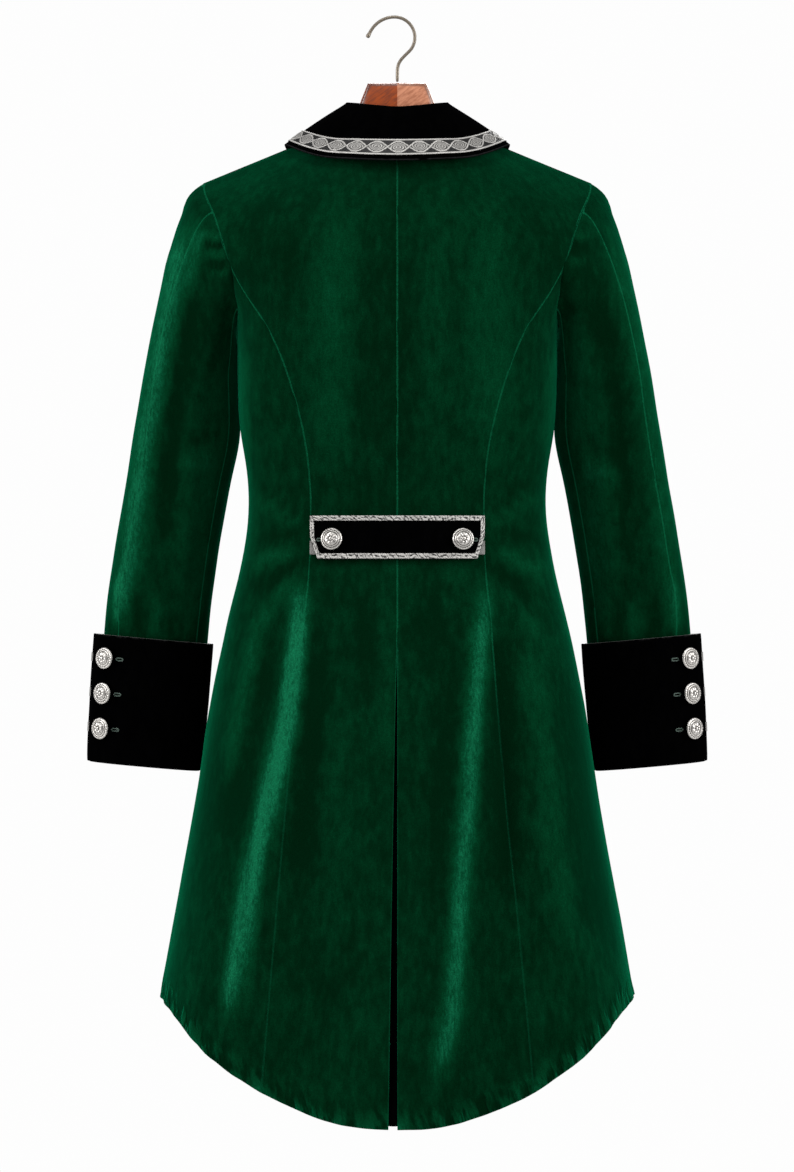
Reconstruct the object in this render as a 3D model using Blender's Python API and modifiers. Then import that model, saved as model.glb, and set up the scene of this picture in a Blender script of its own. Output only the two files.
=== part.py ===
"""Velvet tail coat on a wooden hanger.

The coat keeps the hollow form of a worn one. Its back faces -Y, the wearer's right is at +X, and the
origin is the inside top of the hanger's hook. All sizes below are in millimetres; the meshes are made
in metres. Every cloth piece is a wall between an outer grid of points and an inner one.
"""
from bisect import bisect_right
from collections import namedtuple
from math import asin, copysign, cos, exp, pi, radians, sin

import bmesh
import bpy
from mathutils import Matrix, Vector

MM = 0.001
CLOTH = 2.0
SEAM_GAP = 0.3
SEAT_GAP = 0.35
RIGHT, LEFT = 1, -1

# Body of the coat: half width, and how far it reaches behind and before the side seam
Section = namedtuple("Section", "z half_width back front")
SECTIONS = (
    Section(-262, 190.0, 100, 93),
    Section(-315, 166.9, 102, 103),
    Section(-370, 165.1, 99, 110),
    Section(-421, 163.4, 93, 107),
    Section(-446, 158.6, 90, 105),
    Section(-498, 153.7, 84, 97),
    Section(-514, 154.0, 84, 96),
    Section(-560, 161.0, 89, 99),
    Section(-622, 175.4, 103, 107),
    Section(-705, 193.0, 121, 117),
    Section(-808, 209.0, 136, 129),
    Section(-912, 227.8, 148, 140),
    Section(-1015, 246.5, 160, 151),
    Section(-1140, 268.0, 173, 164),
)
ROUNDNESS = 2 / 2.3
CHEST_Z = -262
UNDERARM_Z = -318
WAIST_Z = -530

# Princess seam, from the armhole down through the waist to the hem
SeamRow = namedtuple("SeamRow", "z half")
PRINCESS = (
    SeamRow(-262, 170.0),
    SeamRow(-286, 157.0),
    SeamRow(-313, 138.0),
    SeamRow(-349, 120.0),
    SeamRow(-387, 107.0),
    SeamRow(-416, 98.5),
    SeamRow(-469, 90.0),
    SeamRow(-514, 88.0),
    SeamRow(-554, 88.5),
    SeamRow(-588, 91.0),
    SeamRow(-646, 97.0),
    SeamRow(-780, 110.0),
    SeamRow(-1101, 138.0),
)

# Hem: a deep curve behind, nearly level before
HEM_SIDE_Z = -1009
HEM_BACK_DROP = 121
HEM_BACK_ROUNDNESS = 2.2
HEM_BACK_POWER = 1.18
HEM_FRONT_RISE = 31

# Centre back slit: it opens from its top to the hem, on the left half only
SLIT_TOP_Z = -642
SLIT_AT_HEM = 9.0
HEM_BACK_Z = HEM_SIDE_Z - HEM_BACK_DROP
UNDERLAY_OVER = 20
UNDERLAY_SHORT = 4
UNDERLAY_STEP = 3
UNDERLAY_GAP = 0.6
UNDERLAY_THICKNESS = 1.5

# Soft folds of the skirt: where each crosses the waist and the hem, how wide and how high it is
Fold = namedtuple("Fold", "face waist_x hem_x width height")
FOLDS = (
    Fold(-1, -96, -190, 34, 7.0),
    Fold(-1, -60, -112, 30, -7.0),
    Fold(-1, -26, -48, 24, 5.0),
    Fold(-1, 92, 22, 32, 8.0),
    Fold(-1, 118, 92, 30, -7.0),
    Fold(-1, 128, 182, 30, 4.5),
    Fold(1, -100, -170, 34, 8.0),
    Fold(1, -56, -92, 30, -6.0),
    Fold(1, 70, 66, 32, 7.0),
    Fold(1, 112, 150, 32, -6.0),
)

# Neckline and shoulder seam, for the right half
NECK_BACK = Vector((0, -50, -125))
NECK_FRONT = Vector((0, 66, -188))
NECK_SIDE = Vector((62, 8, -112.5))
SHOULDER_TIP = Vector((201.5, 16, -169))
NECK_SHARE = 0.5
SHOULDER_NORMAL = Vector((0.39, 0, 0.92))

# How the cloth leaves the top line: at the centre, at the side of the neck, at the shoulder tip
Leave = namedtuple("Leave", "share x y z")
LEAVES = (
    Leave(0.0, 0.00, 0.42, -0.90),
    Leave(0.5, 0.25, 0.80, -0.52),
    Leave(1.0, 0.10, 0.95, -0.34),
)

# Armhole edges from the shoulder tip down to the princess seam
ArmholeRow = namedtuple("ArmholeRow", "z half y")
ARMHOLE_BACK = (
    ArmholeRow(-169.0, 201.5, 16),
    ArmholeRow(-188.0, 196.8, -9),
    ArmholeRow(-207.2, 187.2, -30),
    ArmholeRow(-226.6, 181.6, -42),
    ArmholeRow(-240.4, 177.3, -48),
    ArmholeRow(-262.0, 170.0, -52.4),
)
ARMHOLE_FRONT = (
    ArmholeRow(-169.0, 201.5, 16),
    ArmholeRow(-190.0, 191.0, 31),
    ArmholeRow(-212.0, 179.0, 42),
    ArmholeRow(-237.0, 172.0, 47),
    ArmholeRow(-262.0, 170.0, 48.7),
)
ARMHOLE_CENTER = Vector((186, 0, -246))

# Rows and columns of the panels
YOKE_ROWS = 5
SKIRT_ROWS = 18
CENTER_COLUMNS = 6
SIDE_COLUMNS = 4
COLLAR_COLUMNS = 6
COLUMN_REACH = 190

# Front closure: the right front laps over the left
LAP = 20
LAP_BLEND = 30
LAP_DROP = CLOTH + 1.2

# Sleeve rings below the cap; tilt lifts the outer side
SleeveRow = namedtuple("SleeveRow", "z x half_width half_depth y tilt")
SLEEVE = (
    SleeveRow(-372, 214.6, 50.0, 53, 22, 0.0),
    SleeveRow(-404, 216.7, 53.3, 49, 25, 0.0),
    SleeveRow(-440, 220.4, 55.8, 45, 28, 0.0),
    SleeveRow(-477, 227.4, 54.6, 42, 30, 0.5),
    SleeveRow(-539, 238.4, 54.2, 37, 32, 1.5),
    SleeveRow(-600, 247.6, 54.3, 32, 35, 4.0),
    SleeveRow(-644.3, 251.9, 54.2, 30, 36, 5.1),
    SleeveRow(-762.1, 262.4, 51.3, 29, 38, 5.1),
)
CAP_ROWS = 6
ARM_ROWS = 12
SLEEVE_ANGLES = (0, 26, 49, 66, 83, 101, 121, 141, 160, 180)
HIND_SEAM = 2
INNER_SEAM = 7

# Turned-back cuff, measured along its own axis down from its top edge
CUFF_TOP = Vector((254.2, 36, -644.3))
CUFF_BOTTOM = Vector((263.8, 38, -774.2))
CUFF_TILT = 5.1
CUFF_WIDTHS = (62.7, 60.4)
CUFF_DEPTHS = (36.5, 35.3)
CUFF_LIP = 6.1
CuffRow = namedtuple("CuffRow", "height inset")
CUFF_PROFILE = (
    CuffRow(0.0, 0.5),
    CuffRow(1.0, 0.0),
    CuffRow(40.0, -0.6),
    CuffRow(84.0, -0.6),
    CuffRow(124.4, 0.0),
    CuffRow(129.2, 1.2),
    CuffRow(130.6, 3.2),
    CuffRow(128.8, 5.4),
    CuffRow(125.4, CUFF_LIP),
    CuffRow(115.9, CUFF_LIP),
    CuffRow(112.9, 2.6),
    CuffRow(56.0, 2.0),
    CuffRow(0.0, 2.6),
)
CUFF_BUTTON_HEIGHTS = (21.5, 58.0, 94.5)
CUFF_BUTTON_ANGLE = 45
CUFF_BULGE = 0.6
PIPING_RADIUS = 1.25
TAB_HEIGHT = 9.3
TAB_ANGLE = 13
TAB_THICKNESS = 1.0

# Collar: the fold line and the outer edge of the fall, by how far round the neck they are
CollarRow = namedtuple("CollarRow", "turn fold_x fold_y fold_z edge_x edge_y edge_z")
COLLAR = (
    CollarRow(0.00, 0.0, -50, -96.5, 0.0, -80, -153),
    CollarRow(0.50, 38.0, -31, -91.5, 73.0, -58, -148),
    CollarRow(1.00, 53.0, 5, -87.5, 116.0, 2, -130.6),
    CollarRow(1.50, 46.0, 42, -116.0, 98.0, 74, -167),
    CollarRow(1.84, 18.0, 64, -160.0, 45.0, 93, -220),
)
COLLAR_ROUND = tuple(row._replace(turn=-row.turn, fold_x=-row.fold_x, edge_x=-row.edge_x)
                     for row in COLLAR[:0:-1]) + COLLAR
COLLAR_THICKNESS = 2.4
COLLAR_LOOP = 3.0
COLLAR_BULGE = 1.0
BRAID_MARGIN = 5.0
BRAID_WIDTH = 18.5
BRAID_THICKNESS = 1.0

# Half belt on the back of the waist
BeltRow = namedtuple("BeltRow", "z half")
BELT = (
    BeltRow(-515.0, 87.6),
    BeltRow(-526.0, 87.6),
    BeltRow(-537.5, 87.2),
    BeltRow(-548.0, 84.0),
    BeltRow(-560.0, 80.2),
)
BELT_LIFT = 2.5
BELT_THICKNESS = 2.6
BELT_COLUMNS = 12
BELT_BRAID_WIDTH = 5.6
BELT_BRAID_SIDE = 4.2
BELT_BUTTON_X = 65.4
BELT_BUTTON_Z = -540.0
BELT_TAB_Z = (-541, -555)
BELT_TAB_LIFT = 0.95
BELT_TAB_REACH = (74, 88.6)

# Buttons: a domed cap on a short shank, turned about its axis
ButtonRow = namedtuple("ButtonRow", "radius height")
BUTTON_PROFILE = (
    ButtonRow(0.0, 8.4),
    ButtonRow(5.5, 7.6),
    ButtonRow(9.6, 5.4),
    ButtonRow(11.2, 3.6),
    ButtonRow(10.3, 2.4),
    ButtonRow(3.0, 2.2),
    ButtonRow(3.0, 0.0),
    ButtonRow(0.0, 0.0),
)
BUTTON_SIDES = 12
FRONT_BUTTON_HEIGHTS = (-238, -308, -378, -448, -518)

# Hanger: outline of the right arm; under the shoulder its top lies a little below the seam
ArmPoint = namedtuple("ArmPoint", "x z")
HANGER_NECK = (ArmPoint(0.15, -66), ArmPoint(30.5, -66), ArmPoint(39.5, -88), ArmPoint(50, -119), ArmPoint(61, -129))
HANGER_SEAT_XS = (76, 100, 130, 160, 182)
HANGER_DROPS = (6.6, 9.0)
HANGER_END = (
    ArmPoint(189, -187),
    ArmPoint(186, -199),
    ArmPoint(172, -203),
    ArmPoint(110, -180),
    ArmPoint(60, -152),
    ArmPoint(25, -134),
    ArmPoint(0.15, -130),
)
HANGER_HALF_THICKNESS = 9.5
HANGER_SWEEP = 12.5
HANGER_REACH = 190
HANGER_BEVEL = 6.5

# Hook: wire round a circle that widens to its ball tip, then a bend into the stem
HOOK_WIRE = 1.95
HOOK_CENTER = (-2.9, -19.05)
HOOK_RADIUS = 21.2
HOOK_TIP_RADIUS = 26.4
HOOK_TIP_ANGLE = 172
HOOK_END_ANGLE = -40
HOOK_BEND = ((8.0, -37.6), (4.2, -41.6), (1.3, -46.0), (0.2, -50.5), (0.0, -56.0), (0.0, -65.65))
HOOK_STEPS = 22
HOOK_BALL = 1.35

# Colours as linear red, green, blue, with roughness and metal
Finish = namedtuple("Finish", "colour roughness metallic")
FINISHES = {
    "green_velvet": Finish((0.003, 0.040, 0.016), 0.90, 0.0),
    "black_velvet": Finish((0.004, 0.004, 0.004), 0.90, 0.0),
    "silver_braid": Finish((0.33, 0.32, 0.30), 0.50, 0.6),
    "silver_metal": Finish((0.62, 0.60, 0.57), 0.30, 1.0),
    "hanger_wood": Finish((0.36, 0.11, 0.04), 0.35, 0.0),
    "hook_steel": Finish((0.60, 0.60, 0.60), 0.20, 1.0),
}


def clear_scene():
    for thing in list(bpy.data.objects):
        bpy.data.objects.remove(thing, do_unlink=True)


def make_material(name):
    finish = FINISHES[name]
    material = bpy.data.materials.new(name)
    material.use_nodes = True
    shader = material.node_tree.nodes["Principled BSDF"]
    shader.inputs["Base Color"].default_value = (*finish.colour, 1.0)
    shader.inputs["Roughness"].default_value = finish.roughness
    shader.inputs["Metallic"].default_value = finish.metallic
    return material


def slopes_of(places, values):
    """Slopes of a monotone cubic through a table's rows."""
    steps = [(values[i + 1] - values[i]) / (places[i + 1] - places[i]) for i in range(len(places) - 1)]
    slopes = [steps[0]]
    for before, after in zip(steps, steps[1:]):
        same_way = before * after > 0
        slopes.append(2 * before * after / (before + after) if same_way else 0.0)
    slopes.append(steps[-1])
    return slopes


def read_table(rows, key, column, place):
    """Value of a column at any place, on a smooth curve through the rows, straight beyond them."""
    sign = 1 if getattr(rows[-1], key) > getattr(rows[0], key) else -1
    places = [sign * getattr(row, key) for row in rows]
    values = [getattr(row, column) for row in rows]
    place *= sign
    slopes = slopes_of(places, values)
    if place <= places[0]:
        return values[0] + slopes[0] * (place - places[0])
    if place >= places[-1]:
        return values[-1] + slopes[-1] * (place - places[-1])
    i = bisect_right(places, place) - 1
    width = places[i + 1] - places[i]
    t = (place - places[i]) / width
    start = values[i] * (1 + 2 * t) * (1 - t) ** 2 + slopes[i] * width * t * (1 - t) ** 2
    end = values[i + 1] * t * t * (3 - 2 * t) + slopes[i + 1] * width * t * t * (t - 1)
    return start + end


def ease(t):
    """Smooth step from 0 to 1."""
    t = min(max(t, 0.0), 1.0)
    return t * t * (3 - 2 * t)


def mix(start, end, t):
    return start + (end - start) * t


def bezier(p0, p1, p2, p3, t):
    s = 1 - t
    return p0 * s ** 3 + p1 * 3 * s * s * t + p2 * 3 * s * t * t + p3 * t ** 3


def fold_height(x, z, face):
    """How far the skirt's folds lift the cloth at a place."""
    growth = ease((WAIST_Z - z) / 330) * mix(0.55, 1.0, ease((WAIST_Z - z) / (WAIST_Z - HEM_BACK_Z)))
    if growth == 0:
        return 0.0
    share = (WAIST_Z - z) / (WAIST_Z - HEM_BACK_Z)
    lift = 0.0
    for fold in FOLDS:
        if fold.face == face:
            off = (x - mix(fold.waist_x, fold.hem_x, share)) / (fold.width * mix(0.6, 1.1, share))
            lift += fold.height * exp(-off * off)
    return lift * growth


def coat_point(angle, z):
    """Outer surface below the chest, at a signed angle from centre back: 90 degrees is the +X side."""
    turn = abs(angle)
    if turn > pi:
        angle = -copysign(2 * pi - turn, angle)
        turn = 2 * pi - turn
    face = -1 if turn <= pi / 2 else 1
    reach = read_table(SECTIONS, "z", "half_width", z)
    depth = read_table(SECTIONS, "z", "back" if face < 0 else "front", z)
    x = copysign(reach * sin(turn) ** ROUNDNESS, angle)
    y = face * depth * abs(cos(turn)) ** ROUNDNESS
    out = Vector((x / reach ** 2, y / depth ** 2, 0)).normalized()
    side_fade = 1 - ease((abs(x) / reach - 0.86) / 0.14)
    return Vector((x, y, z)) + out * fold_height(x, z, face) * side_fade


def coat_normal(angle, z):
    across = coat_point(angle + 0.012, z) - coat_point(angle - 0.012, z)
    along = coat_point(angle, z + 2) - coat_point(angle, z - 2)
    return across.cross(along).normalized()


def angle_at(x, z, face):
    """Signed angle of the place at a given x on the back, face -1, or on the front, face 1."""
    reach = read_table(SECTIONS, "z", "half_width", z)
    turn = asin(min(abs(x) / reach, 1.0) ** (1 / ROUNDNESS))
    return copysign(turn if face < 0 else pi - turn, x)


def surface_at(x, z, face, lift=0.0):
    """Point and normal at a given x and z, lifted off the cloth."""
    angle = angle_at(x, z, face)
    normal = coat_normal(angle, z)
    return coat_point(angle, z) + normal * lift, normal


def princess_angle(z):
    return angle_at(read_table(PRINCESS, "z", "half", z), z, -1)


def hem_z(angle):
    """Height of the hem at an angle from centre back."""
    turn = min(abs(angle), 2 * pi - abs(angle))
    share = sin(turn) ** ROUNDNESS
    if turn <= pi / 2:
        return HEM_SIDE_Z - HEM_BACK_DROP * (1 - share ** HEM_BACK_ROUNDNESS) ** HEM_BACK_POWER
    return HEM_SIDE_Z + HEM_FRONT_RISE * (1 - share ** 2)


def hem_z_at_seam(share, face):
    """Height of the hem where a column of a centre panel ends."""
    z = HEM_SIDE_Z - 60
    for _ in range(4):
        z = hem_z(column_angle(share, z, face))
    return z


def column_angle(share, z, face):
    """Angle of a centre panel's column: share 0 is the centre line, 1 the princess seam."""
    turn = share * princess_angle(z)
    return turn if face < 0 else pi - turn


def top_line(share, face):
    """Point of the neckline, then of the shoulder seam."""
    center = NECK_BACK if face < 0 else NECK_FRONT
    if share <= NECK_SHARE:
        turn = share / NECK_SHARE * pi / 2
        x = NECK_SIDE.x * sin(turn)
        rest = 1 - cos(turn)
        return Vector((x, mix(center.y, NECK_SIDE.y, rest), mix(center.z, NECK_SIDE.z, rest)))
    return NECK_SIDE.lerp(SHOULDER_TIP, (share - NECK_SHARE) / (1 - NECK_SHARE))


def armhole_edge(rise, face):
    """Armhole edge of a centre panel, from the princess seam, 0, up to the shoulder tip, 1."""
    rows = ARMHOLE_BACK if face < 0 else ARMHOLE_FRONT
    z = mix(CHEST_Z, SHOULDER_TIP.z, 1 - (1 - rise) ** 1.15)
    return Vector((read_table(rows, "z", "half", z), read_table(rows, "z", "y", z), z))


def yoke_point(share, rise, face):
    """Outer surface above the chest: share from the centre to the armhole, rise from the chest up."""
    if share < 0:
        point = yoke_point(-share, rise, face)
        return Vector((-point.x, point.y, point.z))

    def meridian(across):
        base_angle = column_angle(across, CHEST_Z, face)
        base = coat_point(base_angle, CHEST_Z)
        up = (base - coat_point(base_angle, CHEST_Z - 4)).normalized()
        top = top_line(across, face)
        leave = Vector([read_table(LEAVES, "share", axis, across) for axis in "xyz"]).normalized()
        leave.y *= -1 if face < 0 else 1
        span = (top - base).length
        return bezier(base, base + up * span * 0.36, top + leave * span * 0.36, top, rise)

    across = min(share, 1.0)
    pull = (armhole_edge(rise, face) - meridian(1.0)) * across ** 3
    return meridian(across) + pull


def yoke_normal(share, rise, face):
    low, high = max(rise - 0.02, 0.0), min(rise + 0.02, 1.0)
    left, right = share - 0.02, min(share + 0.02, 1.0)
    across = yoke_point(right, rise, face) - yoke_point(left, rise, face)
    along = yoke_point(share, high, face) - yoke_point(share, low, face)
    normal = across.cross(along).normalized()
    return normal if face < 0 else -normal


def skirt_share(row):
    """Share of the way from a panel's top to the hem; rows are closer near the chest."""
    return (row / SKIRT_ROWS) ** 1.2


def armhole_mitre(point, normal):
    """Shared direction of the wall where body and sleeve meet."""
    around = Vector((0, point.y - ARMHOLE_CENTER.y, point.z - ARMHOLE_CENTER.z)).normalized()
    return (normal + around).normalized()


def slit_width(z, face, side):
    """How far the back's left edge has drawn away from the centre."""
    if face > 0 or side == RIGHT or z > SLIT_TOP_Z:
        return 0.0
    return SLIT_AT_HEM * ((SLIT_TOP_Z - z) / (SLIT_TOP_Z - HEM_BACK_Z)) ** 0.8


def center_panel(face, side):
    """Points and normals of a centre panel: columns run from its centre edge to the armhole.

    The back's centre edge draws away along the slit; the front's has one more column, past the centre.
    """
    shares = [column / CENTER_COLUMNS for column in range(CENTER_COLUMNS + 1)]
    if face > 0:
        shares.insert(0, -LAP / COLUMN_REACH)
    points, normals = [], []
    for row in range(YOKE_ROWS):
        rise = 1 - row / YOKE_ROWS
        points.append([])
        normals.append([])
        for share in shares:
            point = yoke_point(share, rise, face)
            normal = yoke_normal(share, rise, face)
            if row == 0 and share >= NECK_SHARE:
                normal = SHOULDER_NORMAL.normalized()
            if share == 1:
                normal = armhole_mitre(point, normal)
            points[-1].append(on_side(point, side))
            normals[-1].append(on_side(normal, side))
    for row in range(SKIRT_ROWS + 1):
        points.append([])
        normals.append([])
        for share in shares:
            z = mix(CHEST_Z, hem_z_at_seam(max(share, 0), face), skirt_share(row))
            angle = column_angle(share, z, face)
            if share < 0:
                angle = angle_at(-LAP, z, face)
            if share == 0:
                angle = angle_at(slit_width(z, face, side) or 1e-6, z, face)
            point, normal = coat_point(side * angle, z), coat_normal(side * angle, z)
            if row == 0 and share == 1:
                normal = on_side(armhole_mitre(on_side(point, side), on_side(normal, side)), side)
            points[-1].append(point)
            normals[-1].append(normal)
    return points, normals


def side_panel(face, side):
    """Points and normals of a side panel, from the princess seam to the side seam."""
    points, normals = [], []
    for row in range(SKIRT_ROWS + 1):
        points.append([])
        normals.append([])
        for column in range(SIDE_COLUMNS + 1):
            share = column / SIDE_COLUMNS
            top = mix(CHEST_Z, UNDERARM_Z, sin(share * pi / 2))
            bottom = hem_z_at_seam(1, face)
            for _ in range(4):
                bottom = hem_z(mix(column_angle(1, bottom, face), pi / 2, share))
            z = mix(top, bottom, skirt_share(row))
            angle = side * mix(column_angle(1, z, face), pi / 2, share)
            point, normal = coat_point(angle, z), coat_normal(angle, z)
            if row == 0:
                normal = on_side(armhole_mitre(on_side(point, side), on_side(normal, side)), side)
            points[-1].append(point)
            normals[-1].append(normal)
    return points, normals


def on_side(vector, side):
    """A right half's point or direction, on the side asked for."""
    return Vector((side * vector.x, vector.y, vector.z))


def drawn_in(edge, inside):
    """An edge line of points moved in square to itself by half a seam gap, towards the line inside it."""
    moved_edge = []
    for i, point in enumerate(edge):
        along = (edge[min(i + 1, len(edge) - 1)] - edge[max(i - 1, 0)]).normalized()
        way = inside[i] - point
        way = (way - along * way.dot(along)).normalized()
        moved_edge.append(point + way * SEAM_GAP / 2)
    return moved_edge


def trim(points, top=False, first=False, last=False):
    """Draw a grid's named edges in by half a seam gap."""
    columns = [list(column) for column in zip(*points)]
    if first:
        columns[0] = drawn_in(columns[0], columns[1])
    if last:
        columns[-1] = drawn_in(columns[-1], columns[-2])
    rows = [list(row) for row in zip(*columns)]
    if top:
        rows[0] = drawn_in(rows[0], rows[1])
    return rows


def grid_normals(points, wrap=False):
    """Normals of a grid from its neighbours; wrap joins the last column to the first."""
    rows, columns = len(points), len(points[0])
    normals = []
    for i in range(rows):
        normals.append([])
        for j in range(columns):
            if wrap:
                across = points[i][(j + 1) % columns] - points[i][j - 1]
            else:
                across = points[i][min(j + 1, columns - 1)] - points[i][max(j - 1, 0)]
            along = points[max(i - 1, 0)][j] - points[min(i + 1, rows - 1)][j]
            normals[-1].append(across.cross(along).normalized())
    return normals


def moved(points, normals, distance):
    return [[p + n * distance for p, n in zip(row, out)] for row, out in zip(points, normals)]


def add_object(name, mesh, finish):
    mesh.materials.append(MATERIALS[finish])
    thing = bpy.data.objects.new(name, mesh)
    COAT.objects.link(thing)
    return thing


def make_mesh(name, points, faces, finish):
    """Object from points in millimetres, with its faces turned outwards."""
    mesh = bpy.data.meshes.new(name)
    mesh.from_pydata([p * MM for p in points], [], faces)
    shape = bmesh.new()
    shape.from_mesh(mesh)
    if shape.calc_volume(signed=True) < 0:
        bmesh.ops.reverse_faces(shape, faces=shape.faces)
    shape.to_mesh(mesh)
    shape.free()
    mesh.shade_smooth()
    mesh.set_sharp_from_angle(angle=radians(40))
    return add_object(name, mesh, finish)


def grid_faces(rows, columns, start, wrap, flip):
    """Triangles of a grid whose points follow each other from a start index."""
    faces = []
    for i in range(rows - 1):
        for j in range(columns if wrap else columns - 1):
            a = start + i * columns + j
            b = start + i * columns + (j + 1) % columns
            c, d = b + columns, a + columns
            faces += [(a, c, b), (a, d, c)] if flip else [(a, b, c), (a, c, d)]
    return faces


def cloth_wall(name, outer, inner, finish, wrap=False):
    """One closed wall between two grids of the same size."""
    rows, columns = len(outer), len(outer[0])
    count = rows * columns
    points = [p for row in outer for p in row] + [p for row in inner for p in row]
    faces = grid_faces(rows, columns, 0, wrap, False) + grid_faces(rows, columns, count, wrap, True)
    last = (rows - 1) * columns
    for j in range(columns if wrap else columns - 1):
        k = (j + 1) % columns
        faces += [(j, count + j, count + k), (j, count + k, k)]
        faces += [(last + k, count + last + k, count + last + j), (last + k, count + last + j, last + j)]
    if not wrap:
        for i in range(rows - 1):
            a, b = i * columns, (i + 1) * columns
            faces += [(b, count + b, count + a), (b, count + a, a)]
            a, b = a + columns - 1, b + columns - 1
            faces += [(a, count + a, count + b), (a, count + b, b)]
    return make_mesh(name, points, faces, finish)


def ring_loft(name, rings, finish):
    """One closed ring body: the rings run round its section and back to the first."""
    rows, columns = len(rings), len(rings[0])
    points = [p for ring in rings for p in ring]
    faces = []
    for i in range(rows):
        k = (i + 1) % rows
        for j in range(columns):
            m = (j + 1) % columns
            a, b = i * columns + j, i * columns + m
            c, d = k * columns + m, k * columns + j
            faces += [(a, b, c), (a, c, d)]
    return make_mesh(name, points, faces, finish)


def side_name(side):
    return "right" if side == RIGHT else "left"


def panel_wall(name, points, normals, finish="green_velvet", **edges):
    outer = trim(points, **edges)
    cloth_wall(name, outer, moved(outer, normals, -CLOTH), finish)


def build_back(side):
    points, normals = center_panel(-1, side)
    panel_wall("back_center_" + side_name(side), points, normals, top=True, first=True, last=True)
    points, normals = side_panel(-1, side)
    panel_wall("back_side_" + side_name(side), points, normals, top=True, first=True, last=True)


def lap_drop(x):
    """How far the left front lies under the right one."""
    return LAP_DROP * (1 - ease((abs(x) - LAP - 10) / LAP_BLEND))


def build_front(side):
    points, normals = center_panel(1, side)
    if side == LEFT:
        points = [[p - n * lap_drop(p.x) for p, n in zip(row, out)] for row, out in zip(points, normals)]
    panel_wall("front_center_" + side_name(side), points, normals, top=True, last=True)
    points, normals = side_panel(1, side)
    panel_wall("front_side_" + side_name(side), points, normals, top=True, first=True, last=True)


def build_slit_underlay():
    """Black strip behind the centre back slit, from the panels' own points moved in."""
    right_points, right_normals = center_panel(-1, RIGHT)
    left_points, left_normals = center_panel(-1, LEFT)
    first = next(i for i, row in enumerate(right_points) if row[0].z < SLIT_TOP_Z + UNDERLAY_OVER)
    outer, normals = [], []
    for i in range(first, len(right_points)):
        edge, beyond = left_points[i][0], left_points[i][1]
        near = max(0.0, (UNDERLAY_STEP + edge.x) / (edge.x - beyond.x))
        outer.append([beyond, edge.lerp(beyond, near), *right_points[i][:2]])
        normals.append([left_normals[i][1], left_normals[i][0], *right_normals[i][:2]])
    outer = moved(outer, normals, -CLOTH - UNDERLAY_GAP)
    outer[-1] = [p.lerp(q, UNDERLAY_SHORT / (q - p).length) for p, q in zip(outer[-1], outer[-2])]
    cloth_wall("slit_underlay", outer, moved(outer, normals, -UNDERLAY_THICKNESS), "black_velvet")


def armhole_ring(side):
    """Points and wall directions round an armhole, from the shoulder tip down the back and up the front."""
    ring = []
    for face in (-1, 1):
        points, normals = center_panel(face, side)
        upper = [(points[i][-1], normals[i][-1]) for i in range(YOKE_ROWS + 1)]
        points, normals = side_panel(face, side)
        lower = list(zip(points[0], normals[0]))[1:]
        ring.append(upper + lower)
    back, front = ring
    return back + front[-2:0:-1]


def sleeve_angles():
    """Angles of a sleeve's columns: 0 outermost, 90 at the back, 180 next to the body."""
    return list(SLEEVE_ANGLES) + [360 - angle for angle in SLEEVE_ANGLES[-2:0:-1]]


def flat_ring(center, half_width, half_depth, tilt, power=ROUNDNESS):
    """Ring of points round a limb; tilt lifts its outer side."""
    ring = []
    for angle in sleeve_angles():
        c, s = cos(radians(angle)), sin(radians(angle))
        x = copysign(half_width * abs(c) ** power, c)
        y = -copysign(half_depth * abs(s) ** power, s)
        lean = radians(tilt)
        ring.append(center + Vector((x * cos(lean), y, x * sin(lean))))
    return ring


def sleeve_ring(z, grow=0.0):
    values = {key: read_table(SLEEVE, "z", key, z) for key in ("x", "half_width", "half_depth", "y", "tilt")}
    center = Vector((values["x"], values["y"], z))
    return flat_ring(center, values["half_width"] + grow, values["half_depth"] + grow, values["tilt"])


def sleeve_grid(side):
    """Rings of a right sleeve, from the armhole to the wrist, with the wall's directions."""
    armhole = [(on_side(p, side), on_side(n, side)) for p, n in armhole_ring(side)]
    first = sleeve_ring(SLEEVE[0].z)
    rings = []
    for row in range(CAP_ROWS):
        t = row / CAP_ROWS
        ring = []
        for (start, _), end, angle in zip(armhole, first, sleeve_angles()):
            drop = start.z - end.z
            out = Vector((1, -0.3 * sin(radians(angle)), -0.08)).normalized()
            swell = (5 + 0.085 * drop) * (0.72 + 0.28 * cos(radians(angle)))
            up = Vector((-0.1 - 0.08 * max(cos(radians(angle)), 0.0), 0, 1))
            ring.append(bezier(start, start + out * swell, end + up * drop * 0.5, end, t))
        rings.append(ring)
    for row in range(ARM_ROWS + 1):
        rings.append(sleeve_ring(mix(SLEEVE[0].z, SLEEVE[-1].z, row / ARM_ROWS)))
    normals = [[-n for n in row] for row in grid_normals(rings, wrap=True)]
    normals[0] = [mitre for _, mitre in armhole]
    return rings, normals


def build_sleeve(side):
    """Top and under sleeve, each from one lengthwise seam to the other."""
    rings, normals = sleeve_grid(side)
    columns = len(rings[0])
    under = list(range(HIND_SEAM, INNER_SEAM + 1))
    top = list(range(INNER_SEAM, columns)) + list(range(HIND_SEAM + 1))
    for name, chosen in (("sleeve_under_", under), ("sleeve_top_", top)):
        points = [[on_side(ring[j], side) for j in chosen] for ring in rings]
        directions = [[on_side(row[j], side) for j in chosen] for row in normals]
        panel_wall(name + side_name(side), points, directions, top=True, first=True, last=True)


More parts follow.
